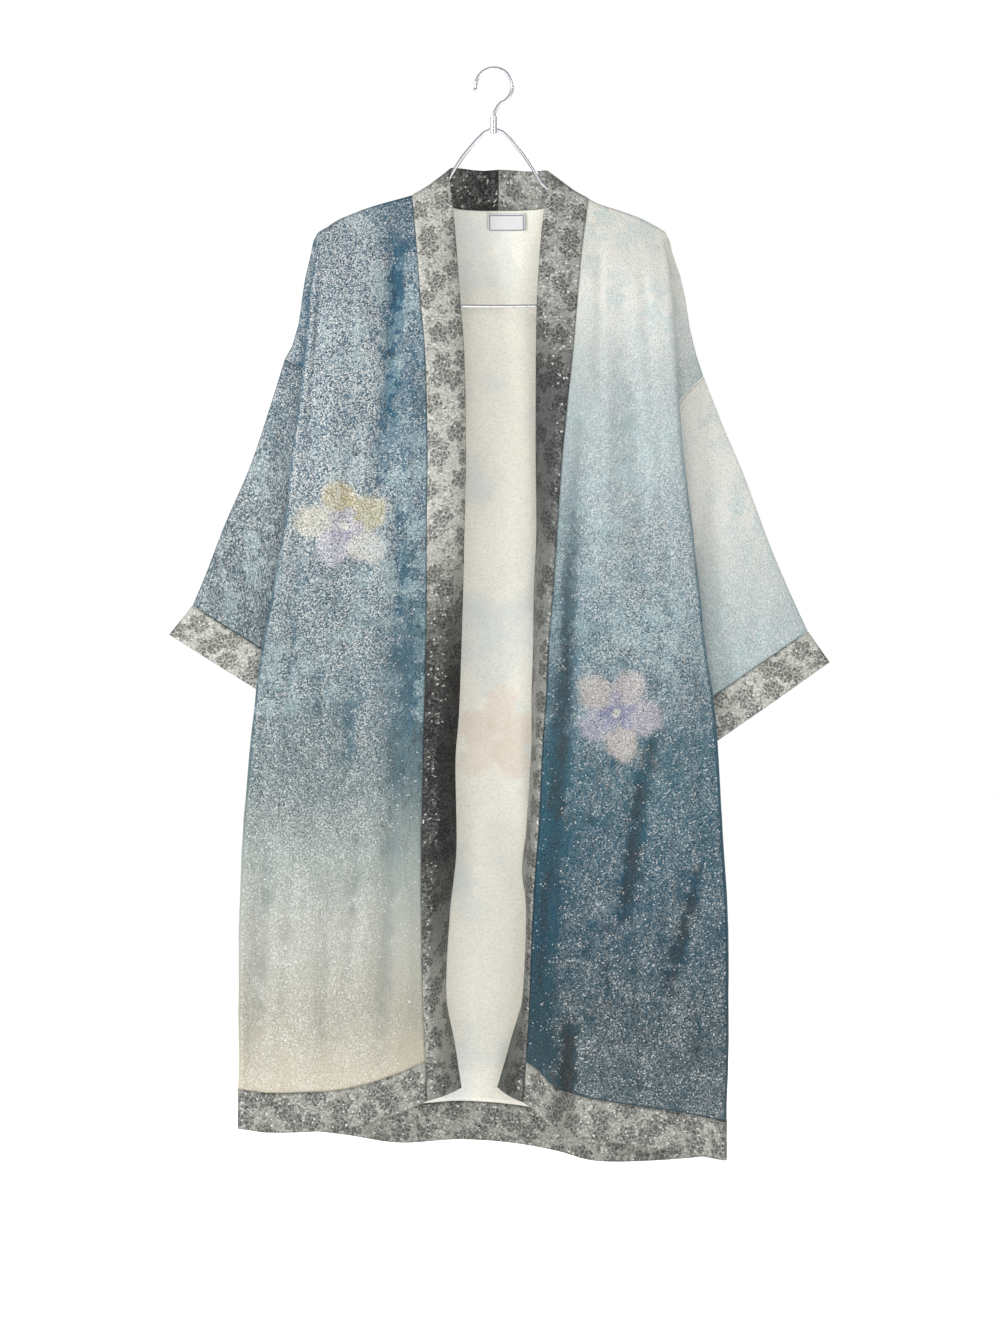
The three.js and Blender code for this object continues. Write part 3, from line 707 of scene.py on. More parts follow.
@dataclass
class Shell:
    """One cloth piece as a thin closed wall about a grid of points."""

    name: str
    grid: Grid
    cloth: Cloth
    outwards: int
    tube: bool = False
    flat: tuple[float, float] = field(default=(0.0, 0.0), init=False)
    area: float = field(default=0.0, init=False)

    def build(self) -> bpy.types.Object:
        """Makes the wall's mesh, with its place in the flat cut kept for the finishes.

        Returns:
            The new object.
        """
        p = np.array([[tuple(v) for v in line] for line in self.grid], float)
        rows, cols = p.shape[:2]
        along = np.gradient(p, axis=0)
        if self.tube:
            across = np.roll(p, -1, axis=1) - np.roll(p, 1, axis=1)
        else:
            across = np.gradient(p, axis=1)
        normal = np.cross(across, along)
        normal *= self.outwards / np.maximum(np.linalg.norm(normal, axis=2, keepdims=True), 1e-9)
        cut = self.lay_flat(p)
        waves = np.array([[relief_at(v) for v in line] for line in self.grid])
        p = p + normal * (waves * self.cloth.relief)[..., None]
        half = self.cloth.thickness / 2
        points = np.concatenate([(p + normal * side).reshape(-1, 3) for side in (half, -half)])
        faces, inner_from = self.faces(rows, cols)
        a, b, c = (points[[f[k] for f in faces]] for k in range(3))
        if float((a * np.cross(b, c)).sum()) < 0:
            faces = [tuple(reversed(f)) for f in faces]
        mesh = bpy.data.meshes.new(self.name)
        mesh.from_pydata((points * METRES).tolist(), [], faces)
        places = mesh.attributes.new("cut", "FLOAT_VECTOR", "POINT")
        places.data.foreach_set("vector", np.concatenate([cut, cut]).astype(np.float32).ravel())
        # This height drives the painted shade in the folds and the flecks' painted sheen
        crest = self.crests(p, normal).ravel()
        heights = mesh.attributes.new("crest", "FLOAT", "POINT")
        heights.data.foreach_set("value", np.concatenate([crest, -crest]).astype(np.float32))
        mesh.polygons.foreach_set("use_smooth", [True] * len(faces))
        mesh.polygons.foreach_set("material_index", [int(k >= inner_from) for k in range(len(faces))])
        mesh.update()
        obj = bpy.data.objects.new(self.name, mesh)
        bpy.context.scene.collection.objects.link(obj)
        return obj

    def lay_flat(self, p: np.ndarray) -> np.ndarray:
        """Measures each point's place in the flat cut: across, and along from the first line.

        Args:
            p: The grid's points.

        Returns:
            One row for each point: across, along and 0, in millimetres.
        """
        rows, cols = p.shape[:2]
        steps_across = np.linalg.norm(np.diff(p, axis=1), axis=2)
        steps_along = np.linalg.norm(np.diff(p, axis=0), axis=2)
        u = np.concatenate([np.zeros((rows, 1)), np.cumsum(steps_across, axis=1)], axis=1)
        v = np.concatenate([np.zeros((1, cols)), np.cumsum(steps_along, axis=0)], axis=0)
        closing = np.linalg.norm(p[:, 0] - p[:, -1], axis=1) if self.tube else np.zeros(rows)
        around = u[:, -1] + closing
        self.flat = (float(around.max()), float(v[-1].max()))
        # A sleeve's rings lie at a slant, so its area isn't round times length but the cells' sum
        closed = np.concatenate([p, p[:, :1]], axis=1) if self.tube else p
        cells = np.cross(np.diff(closed, axis=1)[:-1], np.diff(closed, axis=0)[:, :-1])
        self.area = min(float(np.linalg.norm(cells, axis=2).sum()), self.flat[0] * self.flat[1])
        return np.stack([u, v, np.zeros_like(u)], axis=2).reshape(-1, 3)

    def crests(self, p: np.ndarray, normal: np.ndarray, reach: float = 34.0) -> np.ndarray:
        """Measures how far each point stands out of the cloth about it, across the folds.

        Args:
            p: The wall's middle points.
            normal: The outward direction at each.
            reach: How far to each side the cloth is averaged, in millimetres.

        Returns:
            The height over that average, in millimetres: less than 0 in a fold.
        """
        found = np.empty(p.shape[:2])
        for i, line in enumerate(p):
            count = len(line)
            if self.tube:
                line = np.concatenate([line, line, line])
            steps = np.linalg.norm(np.diff(line, axis=0), axis=1)
            u = np.concatenate([[0.0], np.cumsum(steps)])
            halves = (line[1:] + line[:-1]) / 2 * steps[:, None]
            total = np.concatenate([np.zeros((1, 3)), np.cumsum(halves, axis=0)])
            first = count if self.tube else 0
            here = u[first : first + count]
            # The running total's rise over a stretch, by its length, is the average there
            low, high = np.maximum(here - reach, u[0]), np.minimum(here + reach, u[-1])
            sums = [np.interp(high, u, axis) - np.interp(low, u, axis) for axis in total.T]
            average = np.stack(sums, axis=1) / np.maximum(high - low, 1e-6)[:, None]
            found[i] = ((p[i] - average) * normal[i]).sum(axis=1)
        return np.clip(found, -HIGHEST_CREST, HIGHEST_CREST)

    def faces(self, rows: int, cols: int) -> tuple[list[tuple[int, ...]], int]:
        """The wall's faces: the outer side, then the inner side and the rims.

        Args:
            rows: Lines of the grid.
            cols: Points on a line.

        Returns:
            The faces, and how many of them are the outer side.
        """
        count = rows * cols
        spans = cols if self.tube else cols - 1

        def at(i: int, j: int) -> int:
            """The point's number on the outer side."""
            return i * cols + j % cols

        outer = [
            (at(i, j), at(i, j + 1), at(i + 1, j + 1), at(i + 1, j))
            for i in range(rows - 1)
            for j in range(spans)
        ]
        inner = [(a + count, d + count, c + count, b + count) for a, b, c, d in outer]
        rims = []
        for j in range(spans):
            a, b = at(0, j), at(0, j + 1)
            rims.append((a, a + count, b + count, b))
            a, b = at(rows - 1, j), at(rows - 1, j + 1)
            rims.append((a, b, b + count, a + count))
        if not self.tube:
            for i in range(rows - 1):
                a, b = at(i, 0), at(i + 1, 0)
                rims.append((a, b, b + count, a + count))
                a, b = at(i, cols - 1), at(i + 1, cols - 1)
                rims.append((a, a + count, b + count, b))
        return outer + inner + rims, len(outer)


# ---- Finishes


MATH, VECTOR, RANGE = "ShaderNodeMath", "ShaderNodeVectorMath", "ShaderNodeMapRange"
NOISE, CELLS, SPLIT = "ShaderNodeTexNoise", "ShaderNodeTexVoronoi", "ShaderNodeSeparateXYZ"
MIX_FACTOR, MIX_BELOW, MIX_ABOVE, MIX_RESULT = 0, 6, 7, 2
# A RANGE node's sockets are 0 for the value, 1 and 2 for where it starts and ends, and 3 and 4 for
# what comes out there, which is 0 and 1 if nothing is said
SOFT, FLAT_CELLS = {"interpolation_type": "SMOOTHSTEP"}, {"voronoi_dimensions": "2D"}
# The sizes of the patches of metal thread, of the ragged edges of the painted fold sheen and shade,
# and of the dye's clouds
PATCH_MM, RAGGED_MM, CLOUD_MM = 34, 17, 70
# The flecks' painted sheen fades in over these heights in a fold, in millimetres, and these turns to
# the front; below them their share drops by MOST_LOST, but LEAST_SHOWN of it stays
FOLD_FADE, TURN_FADE, MOST_LOST, LEAST_SHOWN = (-2.6, 2.8), (0.68, 0.96), -0.6, 0.04

Source = Union[bpy.types.Node, bpy.types.NodeSocket]
Colour = Union[str, Source]
Run = tuple[tuple[float, str], ...]
Finishes = dict[str, tuple[bpy.types.Material, bpy.types.Material]]


def linear(code: str) -> tuple[float, float, float, float]:
    """Turns an sRGB hex colour into linear light.

    Args:
        code: The colour, as "#rrggbb".

    Returns:
        Red, green, blue and alpha.
    """
    parts = [int(code[i : i + 2], 16) / 255 for i in (1, 3, 5)]
    light = [c / 12.92 if c <= 0.04045 else ((c + 0.055) / 1.055) ** 2.4 for c in parts]
    return (light[0], light[1], light[2], 1.0)


def feed(tree: bpy.types.NodeTree, node: bpy.types.Node, inputs: dict[Any, Any]) -> None:
    """Sets a node's sockets, or links them to what feeds them.

    Args:
        tree: The material's nodes.
        node: The node.
        inputs: Its sockets by name or number, each with a value, or what feeds it: a socket, or a
            node whose first output does.
    """
    for key, value in inputs.items():
        if isinstance(value, bpy.types.Node):
            value = value.outputs[0]
        if isinstance(value, bpy.types.NodeSocket):
            tree.links.new(value, node.inputs[key])
        else:
            node.inputs[key].default_value = value


def place_node(
    tree: bpy.types.NodeTree,
    kind: str,
    settings: Union[None, str, dict[str, Any]] = None,
    inputs: Optional[dict[Any, Any]] = None,
) -> bpy.types.Node:
    """Adds one node with its settings, its values and its links.

    Args:
        tree: The material's nodes.
        kind: The node's type.
        settings: Its properties, or its operation's name. "stops" gives a colour ramp's stops.
        inputs: Its sockets by name or number, each with its value or what feeds it.

    Returns:
        The node.
    """
    node = tree.nodes.new(kind)
    settings = {"operation": settings} if isinstance(settings, str) else settings or {}
    for name, value in settings.items():
        if name != "stops":
            setattr(node, name, value)
            continue
        elements = node.color_ramp.elements
        while len(elements) < len(value):
            elements.new(1.0)
        for element, (place, colour) in zip(elements, value):
            element.position, element.color = place, colour
    feed(tree, node, inputs or {})
    return node


def new_material(name: str) -> tuple[bpy.types.Material, bpy.types.NodeTree, bpy.types.Node]:
    """An empty material with its surface shader in place.

    Args:
        name: The material's name.

    Returns:
        The material, its nodes and its shader.
    """
    material = bpy.data.materials.new(name)
    material.use_nodes = True
    tree = material.node_tree
    tree.nodes.clear()
    shader = place_node(tree, "ShaderNodeBsdfPrincipled")
    place_node(tree, "ShaderNodeOutputMaterial", None, {"Surface": shader})
    return material, tree, shader


@dataclass(frozen=True)
class Places:
    """Where a point of the cloth lies, hung and in the flat cut, and how far it stands out."""

    hung: Source
    cut: Source
    crest: Source


def read_places(tree: bpy.types.NodeTree) -> Places:
    """Reads the places of a point, in millimetres.

    Args:
        tree: The material's nodes.

    Returns:
        What gives them.
    """
    node = partial(place_node, tree)
    own = node("ShaderNodeTexCoord").outputs["Object"]
    hung = node(VECTOR, "SCALE", {0: own, "Scale": 1 / METRES})
    cut = node("ShaderNodeAttribute", {"attribute_name": "cut"}).outputs["Vector"]
    crest = node("ShaderNodeAttribute", {"attribute_name": "crest"}).outputs["Fac"]
    return Places(hung, cut, crest)


def layered(
    tree: bpy.types.NodeTree, below: Colour, above: Colour, mask: Source, share: float = 1.0
) -> bpy.types.NodeSocket:
    """Lays one colour over another where a mask shows it.

    Args:
        tree: The material's nodes.
        below: The lower colour's code, or what gives it.
        above: The upper colour's code, or what gives it.
        mask: Where the upper one shows.
        share: How much of it shows at most.

    Returns:
        The colour.
    """
    shown = place_node(tree, MATH, "MULTIPLY", {0: mask, 1: share})
    inputs = {MIX_FACTOR: shown}
    for socket, colour in ((MIX_BELOW, below), (MIX_ABOVE, above)):
        inputs[socket] = linear(colour) if isinstance(colour, str) else colour
    mix = place_node(tree, "ShaderNodeMix", {"data_type": "RGBA"}, inputs)
    return mix.outputs[MIX_RESULT]


def height_ramp(
    tree: bpy.types.NodeTree,
    places: Places,
    stops: Run,
    waver: float,
    axis: str = "Z",
    of_cut: bool = False,
) -> bpy.types.Node:
    """A dip-dyed run of colours, whose borders waver.

    Args:
        tree: The material's nodes.
        places: Where a point lies.
        stops: Each place in millimetres, rising, and its colour.
        waver: How far the borders wander, in millimetres.
        axis: The coordinate that the run follows.
        of_cut: Whether it is a place in the flat cut.

    Returns:
        The node that gives the colour.
    """
    node = partial(place_node, tree)
    low, high = stops[0][0], stops[-1][0]
    parts = node(SPLIT, None, {0: places.cut if of_cut else places.hung})
    cloudy = {"Vector": places.hung, "Scale": 1 / CLOUD_MM, "Detail": 5.0, "Roughness": 0.6}
    cloud = node(NOISE, None, cloudy)
    shift = node(MATH, "SUBTRACT", {0: cloud, 1: 0.5})
    place = node(MATH, "MULTIPLY_ADD", {0: shift, 1: 2 * waver, 2: parts.outputs[axis]})
    share = node(RANGE, None, {0: place, 1: low, 2: high})
    scaled = [((at - low) / (high - low), linear(code)) for at, code in stops]
    return node("ShaderNodeValToRGB", {"stops": scaled}, {0: share})


@dataclass(frozen=True)
class Spangles:
    """Metal thread that surfaces in crinkled cloth: its flecks, partly painted highlight, the cloth's
    height, and painted shade in the pits between crinkles.
    """

    flecks: Source
    height: Source
    crinkle_shade: Source


def spangled(
    tree: bpy.types.NodeTree, places: Places, cell: float, share: Union[float, Source], waver: float
) -> Spangles:
    """Works out where the metal thread shows, as painted sheen: on flat stretches and crests, and
    hardly in a fold or on a slope turned from the front.

    Args:
        tree: The material's nodes.
        places: Where a point lies.
        cell: The distance between flecks, in millimetres.
        share: How many of the crinkles show metal, from 0 to 1, or what gives it.
        waver: How unevenly that share lies over the cloth.

    Returns:
        The masks and the height.
    """
    node = partial(place_node, tree)
    bent = node(NOISE, None, {"Vector": places.cut, "Scale": 0.55 / cell, "Detail": 1.0})
    bend = node(VECTOR, "SCALE", {0: bent.outputs["Color"], "Scale": 1.6 * cell})
    moved = node(VECTOR, "ADD", {0: places.cut, 1: bend})
    squeezed = node(VECTOR, "MULTIPLY", {0: moved, 1: (0.85, 1.15, 1.0)})
    crinkle = node(CELLS, FLAT_CELLS, {"Vector": squeezed, "Scale": 1 / cell})
    chance = node("ShaderNodeSeparateColor", None, {0: crinkle.outputs["Color"]})
    patchy = {"Vector": places.hung, "Scale": 1 / PATCH_MM, "Detail": 5.0, "Roughness": 0.65}
    patch = node(NOISE, None, patchy)
    uneven = node(MATH, "MULTIPLY_ADD", {0: patch, 1: 2 * waver, 2: -waver})
    wanted = node(MATH, "ADD", {0: uneven, 1: share})
    # Painted sheen and shade: fewer flecks deep in a fold and on slopes turned away from the front
    normal = node("ShaderNodeNewGeometry").outputs["Normal"]
    tilt = node(SPLIT, None, {0: normal})
    facing = node(MATH, "ABSOLUTE", {0: tilt.outputs["Y"]})
    ragged_fold_edge = node(NOISE, None, {"Vector": places.hung, "Scale": 1 / RAGGED_MM, "Detail": 4.0})
    depth = node(MATH, "MULTIPLY_ADD", {0: ragged_fold_edge, 1: 6.0, 2: places.crest})
    for fading, (low, high) in ((depth, FOLD_FADE), (facing, TURN_FADE)):
        lost = node(RANGE, SOFT, {0: fading, 1: low, 2: high, 3: MOST_LOST, 4: 0.0})
        wanted = node(MATH, "ADD", {0: wanted, 1: lost})
    # A fleck's brightness is partly the silver thread's own colour and partly painted highlight; rare
    # cells get a painted glint
    grain = node(MATH, "POWER", {0: chance.outputs[1], 1: 1.5})
    shine = node(MATH, "MULTIPLY_ADD", {0: grain, 1: 1.3, 2: 0.1})
    least = node(MATH, "MAXIMUM", {0: wanted, 1: LEAST_SHOWN})
    even = node(MATH, "MULTIPLY", {0: shine, 1: least})
    rare = node(MATH, "MULTIPLY_ADD", {0: wanted, 1: 0.14, 2: 0.02})
    left = node(MATH, "SUBTRACT", {0: rare, 1: chance})
    glints = node(RANGE, SOFT, {0: left, 1: -0.02, 2: 0.02, 4: 0.8})
    brightest = node(MATH, "MAXIMUM", {0: even, 1: glints})
    dot = node(RANGE, SOFT, {0: crinkle, 1: 0.84, 2: 0.24})
    clamped = {"operation": "MULTIPLY", "use_clamp": True}
    flecks = node(MATH, clamped, {0: brightest, 1: dot})
    height = node(MATH, "SUBTRACT", {0: 1.0, 1: crinkle})
    # Painted shade in the hollows between the crinkles
    crinkle_shade = node(RANGE, SOFT, {0: crinkle, 1: 0.42, 2: 0.8})
    return Spangles(flecks, height, crinkle_shade)


def rosettes(tree: bpy.types.NodeTree, places: Places, spacing: float, size: float) -> bpy.types.Node:
    """Woven roses in scattered places, with leaves between them.

    Args:
        tree: The material's nodes.
        places: Where a point lies.
        spacing: The distance between roses, in millimetres.
        size: A rose's radius.

    Returns:
        The node that gives the mask of the dark weave.
    """
    node = partial(place_node, tree)
    scattered = {"Vector": places.cut, "Scale": 1 / spacing, "Randomness": 0.75}
    cells = node(CELLS, FLAT_CELLS, scattered)
    local = node(VECTOR, "SUBTRACT", {0: places.cut, 1: cells.outputs["Position"]})
    flat = node(VECTOR, "MULTIPLY", {0: local, 1: (1.0, 1.0, 0.0)})
    parts = node(SPLIT, None, {0: flat})
    turn = node(MATH, "ARCTAN2", {0: parts.outputs["Y"], 1: parts.outputs["X"]})
    own = node("ShaderNodeSeparateColor", None, {0: cells.outputs["Color"]})
    turned = node(MATH, "MULTIPLY_ADD", {0: own, 1: 2 * math.pi, 2: turn})
    lobes = node(MATH, "MULTIPLY", {0: turned, 1: 2.5})
    wave = node(MATH, "COSINE", {0: lobes})
    petal = node(MATH, "ABSOLUTE", {0: wave})
    reach = node(MATH, "MULTIPLY_ADD", {0: petal, 1: 0.38 * size, 2: 0.62 * size})
    radius = node(VECTOR, "LENGTH", {0: flat}).outputs["Value"]
    inside = node(MATH, "SUBTRACT", {0: reach, 1: radius})
    body = node(RANGE, SOFT, {0: inside, 1: -0.6, 2: 1.0})
    edges = {**FLAT_CELLS, "feature": "DISTANCE_TO_EDGE"}
    florets = node(CELLS, edges, {"Vector": places.cut, "Scale": 2.3 / size})
    veins = node(RANGE, SOFT, {0: florets, 1: 0.02, 2: 0.15, 3: 0.2, 4: 1.0})
    rose = node(MATH, "MULTIPLY", {0: body, 1: veins})
    curly = {"Vector": places.cut, "Scale": 2.6 / spacing, "Detail": 2.0, "Roughness": 0.6}
    sprig = node(NOISE, None, {**curly, "Distortion": 1.4})
    leaves = node(RANGE, SOFT, {0: sprig, 1: 0.54, 2: 0.6, 4: 0.8})
    veined = node(MATH, "MULTIPLY", {0: leaves, 1: veins})
    return node(MATH, "MAXIMUM", {0: rose, 1: veined})


class Petal(NamedTuple):
    """A printed petal: its direction, how far out it starts and ends, its width and colour."""

    degrees: float
    start: float
    end: float
    width: float
    colour: str


@dataclass(frozen=True)
class Blossom:
    """A plain printed blossom at a place of the hanging cloth, seen from the front."""

    x: float
    z: float
    petals: tuple[Petal, ...]
    strength: float = 0.72
    waver: float = 17
    blur_mm: float = 15

    def over(self, tree: bpy.types.NodeTree, places: Places, below: Colour) -> Colour:
        """Prints the blossom over the cloth's colour.

        Args:
            tree: The material's nodes.
            places: Where a point lies.
            below: The cloth's colour.

        Returns:
            The printed colour.
        """
        node = partial(place_node, tree)
        blur = node(NOISE, None, {"Vector": places.hung, "Scale": 1 / self.blur_mm, "Detail": 4.0})
        wander = node(VECTOR, "SCALE", {0: blur.outputs["Color"], "Scale": self.waver})
        placed = node(VECTOR, "ADD", {0: places.hung, 1: wander})
        middle = (self.x + self.waver / 2, 0.0, self.z + self.waver / 2)
        local = node(VECTOR, "SUBTRACT", {0: placed, 1: middle})
        colour = below
        for petal in self.petals:
            angle = math.radians(petal.degrees)
            along = (math.cos(angle), 0.0, math.sin(angle))
            aside = (-math.sin(angle), 0.0, math.cos(angle))
            u = node(VECTOR, "DOT_PRODUCT", {0: local, 1: along}).outputs["Value"]
            v = node(VECTOR, "DOT_PRODUCT", {0: local, 1: aside}).outputs["Value"]
            far = node(MATH, "SUBTRACT", {0: u, 1: (petal.start + petal.end) / 2})
            a = node(MATH, "DIVIDE", {0: far, 1: (petal.end - petal.start) / 2})
            b = node(MATH, "DIVIDE", {0: v, 1: petal.width / 2})
            joined = node("ShaderNodeCombineXYZ", None, {"X": a, "Y": b})
            size = node(VECTOR, "LENGTH", {0: joined}).outputs["Value"]
            mask = node(RANGE, SOFT, {0: size, 1: 1.16, 2: 0.66})
            colour = layered(tree, colour, petal.colour, mask, self.strength)
        return colour


def finish_shader(
    tree: bpy.types.NodeTree,
    shader: bpy.types.Node,
    colour: Source,
    rough: Source,
    height: Source,
    relief_mm: float,
    metal: Union[float, Source] = 0.0,
    gloss: float = 0.2,
) -> None:
    """Joins a finish's parts to its shader, with its relief as bump.

    Args:
        tree: The material's nodes.
        shader: Its surface shader.
        colour: The colour.
        rough: The roughness.
        height: The height of its relief, from 0 to 1.
        relief_mm: How deep that relief is, in millimetres.
        metal: How much of the surface is metal.
        gloss: How strongly it mirrors what isn't metal: loose yarn does so less than a solid.
    """
    shader.inputs["Specular IOR Level"].default_value = gloss
    relief = {"Height": height, "Strength": 0.8, "Distance": relief_mm * METRES}
    bump = place_node(tree, "ShaderNodeBump", None, relief)
    inputs = {"Base Color": colour, "Roughness": rough, "Normal": bump, "Metallic": metal}
    feed(tree, shader, inputs)


class FleckRun(NamedTuple):
    """How many of the crinkles show metal, below one height and above another."""

    low_z: float
    low: float
    high_z: float
    high: float


@dataclass(frozen=True)
class CrinkledJacquard:
    """Viscose and metal-thread jacquard, crinkled in the loom: a pebbled, glittering surface.

    The eye gets a dip-dyed ground with a dense grain of silver flecks, thinned in the folds as
    painted sheen, painted shade in the folds and in the pits between the flecks, and pale woven roses
    that only just show.
    """

    name: str
    ground: Run
    flecks: FleckRun
    blossoms: tuple[Blossom, ...] = ()
    fleck: str = "#e6e7e4"
    rose: str = "#a9c0c3"
    # Colours of the painted shade in folds, of the dye streaks and of the painted shade in the pits
    fold_shade_colour: str = "#285a73"
    streak: str = "#2f3436"
    crinkle_shade_colour: str = "#182229"
    plain_strip: float = 0.0
    strip_mm: tuple[float, float] = (16.0, 72.0)
    crinkle_mm: float = 1.6
    relief_mm: float = 0.9
    waver: float = 26
    ragged_mm: float = 22
    rose_spacing: float = 36
    rose_size: float = 15
    shown_mm: float = 90
    roses_from: float = -900.0
    roses_full: float = -760.0

    def build(self) -> bpy.types.Material:
        """Makes the material."""
        material, tree, shader = new_material(self.name)
        node = partial(place_node, tree)
        places = read_places(tree)
        colour = height_ramp(tree, places, self.ground, self.waver)
        height = node(SPLIT, None, {0: places.hung}).outputs["Z"]
        # The dark dye took in the blue of the cloth and left its pale parts clean; painted shade is
        # weaker there
        light = node("ShaderNodeRGBToBW", None, {0: colour})
        dye_and_shade_gate = node(RANGE, SOFT, {0: light, 1: 0.12, 2: 0.42, 3: 1.0, 4: 0.12})
        shade_gate = node(MATH, "MAXIMUM", {0: dye_and_shade_gate, 1: 0.3})
        # The roses are woven all over, but only the middle of the garment turns them to the light
        roses = rosettes(tree, places, self.rose_spacing, self.rose_size)
        gate = node(NOISE, None, {"Vector": places.hung, "Scale": 1 / self.shown_mm, "Detail": 4.0})
        belt = node(RANGE, SOFT, {0: height, 1: self.roses_from, 2: self.roses_full})
        raised = node(MATH, "MULTIPLY", {0: gate, 1: belt})
        shown = node(RANGE, SOFT, {0: raised, 1: 0.36, 2: 0.6})
        woven = node(MATH, "MULTIPLY", {0: roses, 1: shown})
        colour = layered(tree, colour, self.rose, woven, 0.4)
        # Painted shade in the folds, where the crest is low, with ragged edges
        ragged_fold_noise = {"Vector": places.hung, "Scale": 1 / self.ragged_mm, "Detail": 5.0, "Roughness": 0.7}
        ragged_fold_edge = node(NOISE, None, ragged_fold_noise)
        depth = node(MATH, "MULTIPLY_ADD", {0: ragged_fold_edge, 1: 9.0, 2: places.crest})
        fold_shade = node(RANGE, SOFT, {0: depth, 1: 4.2, 2: -0.4})
        fold_shade = node(MATH, "MULTIPLY", {0: fold_shade, 1: shade_gate})
        colour = layered(tree, colour, self.fold_shade_colour, fold_shade, 0.66)
        hanging = node(VECTOR, "MULTIPLY", {0: places.hung, 1: (1 / 30, 1 / 40, 1 / 110)})
        dye = node(NOISE, None, {"Vector": hanging, "Detail": 6.0, "Roughness": 0.66})
        streaks = node(RANGE, SOFT, {0: dye, 1: 0.5, 2: 0.72})
        streaks = node(MATH, "MULTIPLY", {0: streaks, 1: dye_and_shade_gate})
        colour = layered(tree, colour, self.streak, streaks, 0.72)
        for blossom in self.blossoms:
            colour = blossom.over(tree, places, colour)
        run = self.flecks
        rising = {0: height, 1: run.low_z, 2: run.high_z, 3: run.low, 4: run.high}
        share = node(RANGE, SOFT, rising)
        # The strip beside the front band hangs turned from the light, so that it shows little metal
        across = node(SPLIT, None, {0: places.cut}).outputs["X"]
        near, far = self.strip_mm
        aside = node(RANGE, SOFT, {0: across, 1: near, 2: far, 3: -self.plain_strip, 4: 0.0})
        share = node(MATH, "ADD", {0: share, 1: aside})
        metal = spangled(tree, places, self.crinkle_mm, share, 0.42)
        # Painted shade in the pits between the crinkles, weaker on the pale parts
        crinkle_shade = node(MATH, "MULTIPLY", {0: metal.crinkle_shade, 1: shade_gate})
        colour = layered(tree, colour, self.crinkle_shade_colour, crinkle_shade, 0.7)
        # Silver flecks: the thread's own colour, with painted highlight and painted fold sheen in how
        # many and how bright
        colour = layered(tree, colour, self.fleck, metal.flecks, 0.95)
        colour = layered(tree, colour, self.rose, woven, 0.24)
        rough = node(RANGE, None, {0: metal.flecks, 3: 0.6, 4: 0.34})
        shine = node(MATH, "MULTIPLY", {0: metal.flecks, 1: 0.3})
        finish_shader(tree, shader, colour, rough, metal.height, self.relief_mm, shine)
        shader.inputs["Sheen Weight"].default_value = 0.04
        return material


@dataclass(frozen=True)
class RoseTrim:
    """Polyester jacquard with metal thread, woven in two tones: silver ground, charcoal roses."""

    name: str
    ground: Run
    fleck: str = "#efefea"
    fleck_share: float = 0.4
    along_band: bool = True
    # Colour of the painted shade in the pits between the crinkles
    crinkle_shade_colour: str = "#1e2020"
    crinkle_mm: float = 2.3
    worn_mm: float = 2.6
    relief_mm: float = 0.6
    waver: float = 22
    rose_spacing: float = 31
    rose_size: float = 13.5

    def build(self) -> bpy.types.Material:
        """Makes the material."""
        material, tree, shader = new_material(self.name)
        node = partial(place_node, tree)
        places = read_places(tree)
        axis = "Y" if self.along_band else "Z"
        ground = height_ramp(tree, places, self.ground, self.waver, axis, self.along_band)
        mask = rosettes(tree, places, self.rose_spacing, self.rose_size)
        worn = node(NOISE, None, {"Vector": places.cut, "Scale": 1 / self.worn_mm, "Detail": 2.0})
        broken = node(RANGE, None, {0: worn, 1: 0.3, 2: 0.6, 3: 0.62, 4: 1.0})
        shown = node(MATH, "MULTIPLY", {0: mask, 1: broken})
        dark = node(VECTOR, "SCALE", {0: ground, "Scale": 0.16})
        colour = layered(tree, ground, dark, shown, 0.9)
        # Metal thread shows where the weave is silver: less on roses and where the run is charcoal
        light = node("ShaderNodeRGBToBW", None, {0: colour})
        share = node(RANGE, None, {0: light, 1: 0.02, 2: 0.4, 3: 0.12, 4: self.fleck_share})
        metal = spangled(tree, places, self.crinkle_mm, share, 0.3)
        # Painted shade in the pits between the crinkles
        colour = layered(tree, colour, self.crinkle_shade_colour, metal.crinkle_shade, 0.34)
        colour = layered(tree, colour, self.fleck, metal.flecks, 0.85)
        shine = node(MATH, "MULTIPLY", {0: metal.flecks, 1: 0.3})
        rough = node(RANGE, None, {0: metal.flecks, 3: 0.6, 4: 0.35})
        relief = node(MATH, "MULTIPLY_ADD", {0: mask, 1: -0.7, 2: metal.height})
        finish_shader(tree, shader, colour, rough, relief, self.relief_mm, shine)
        return material


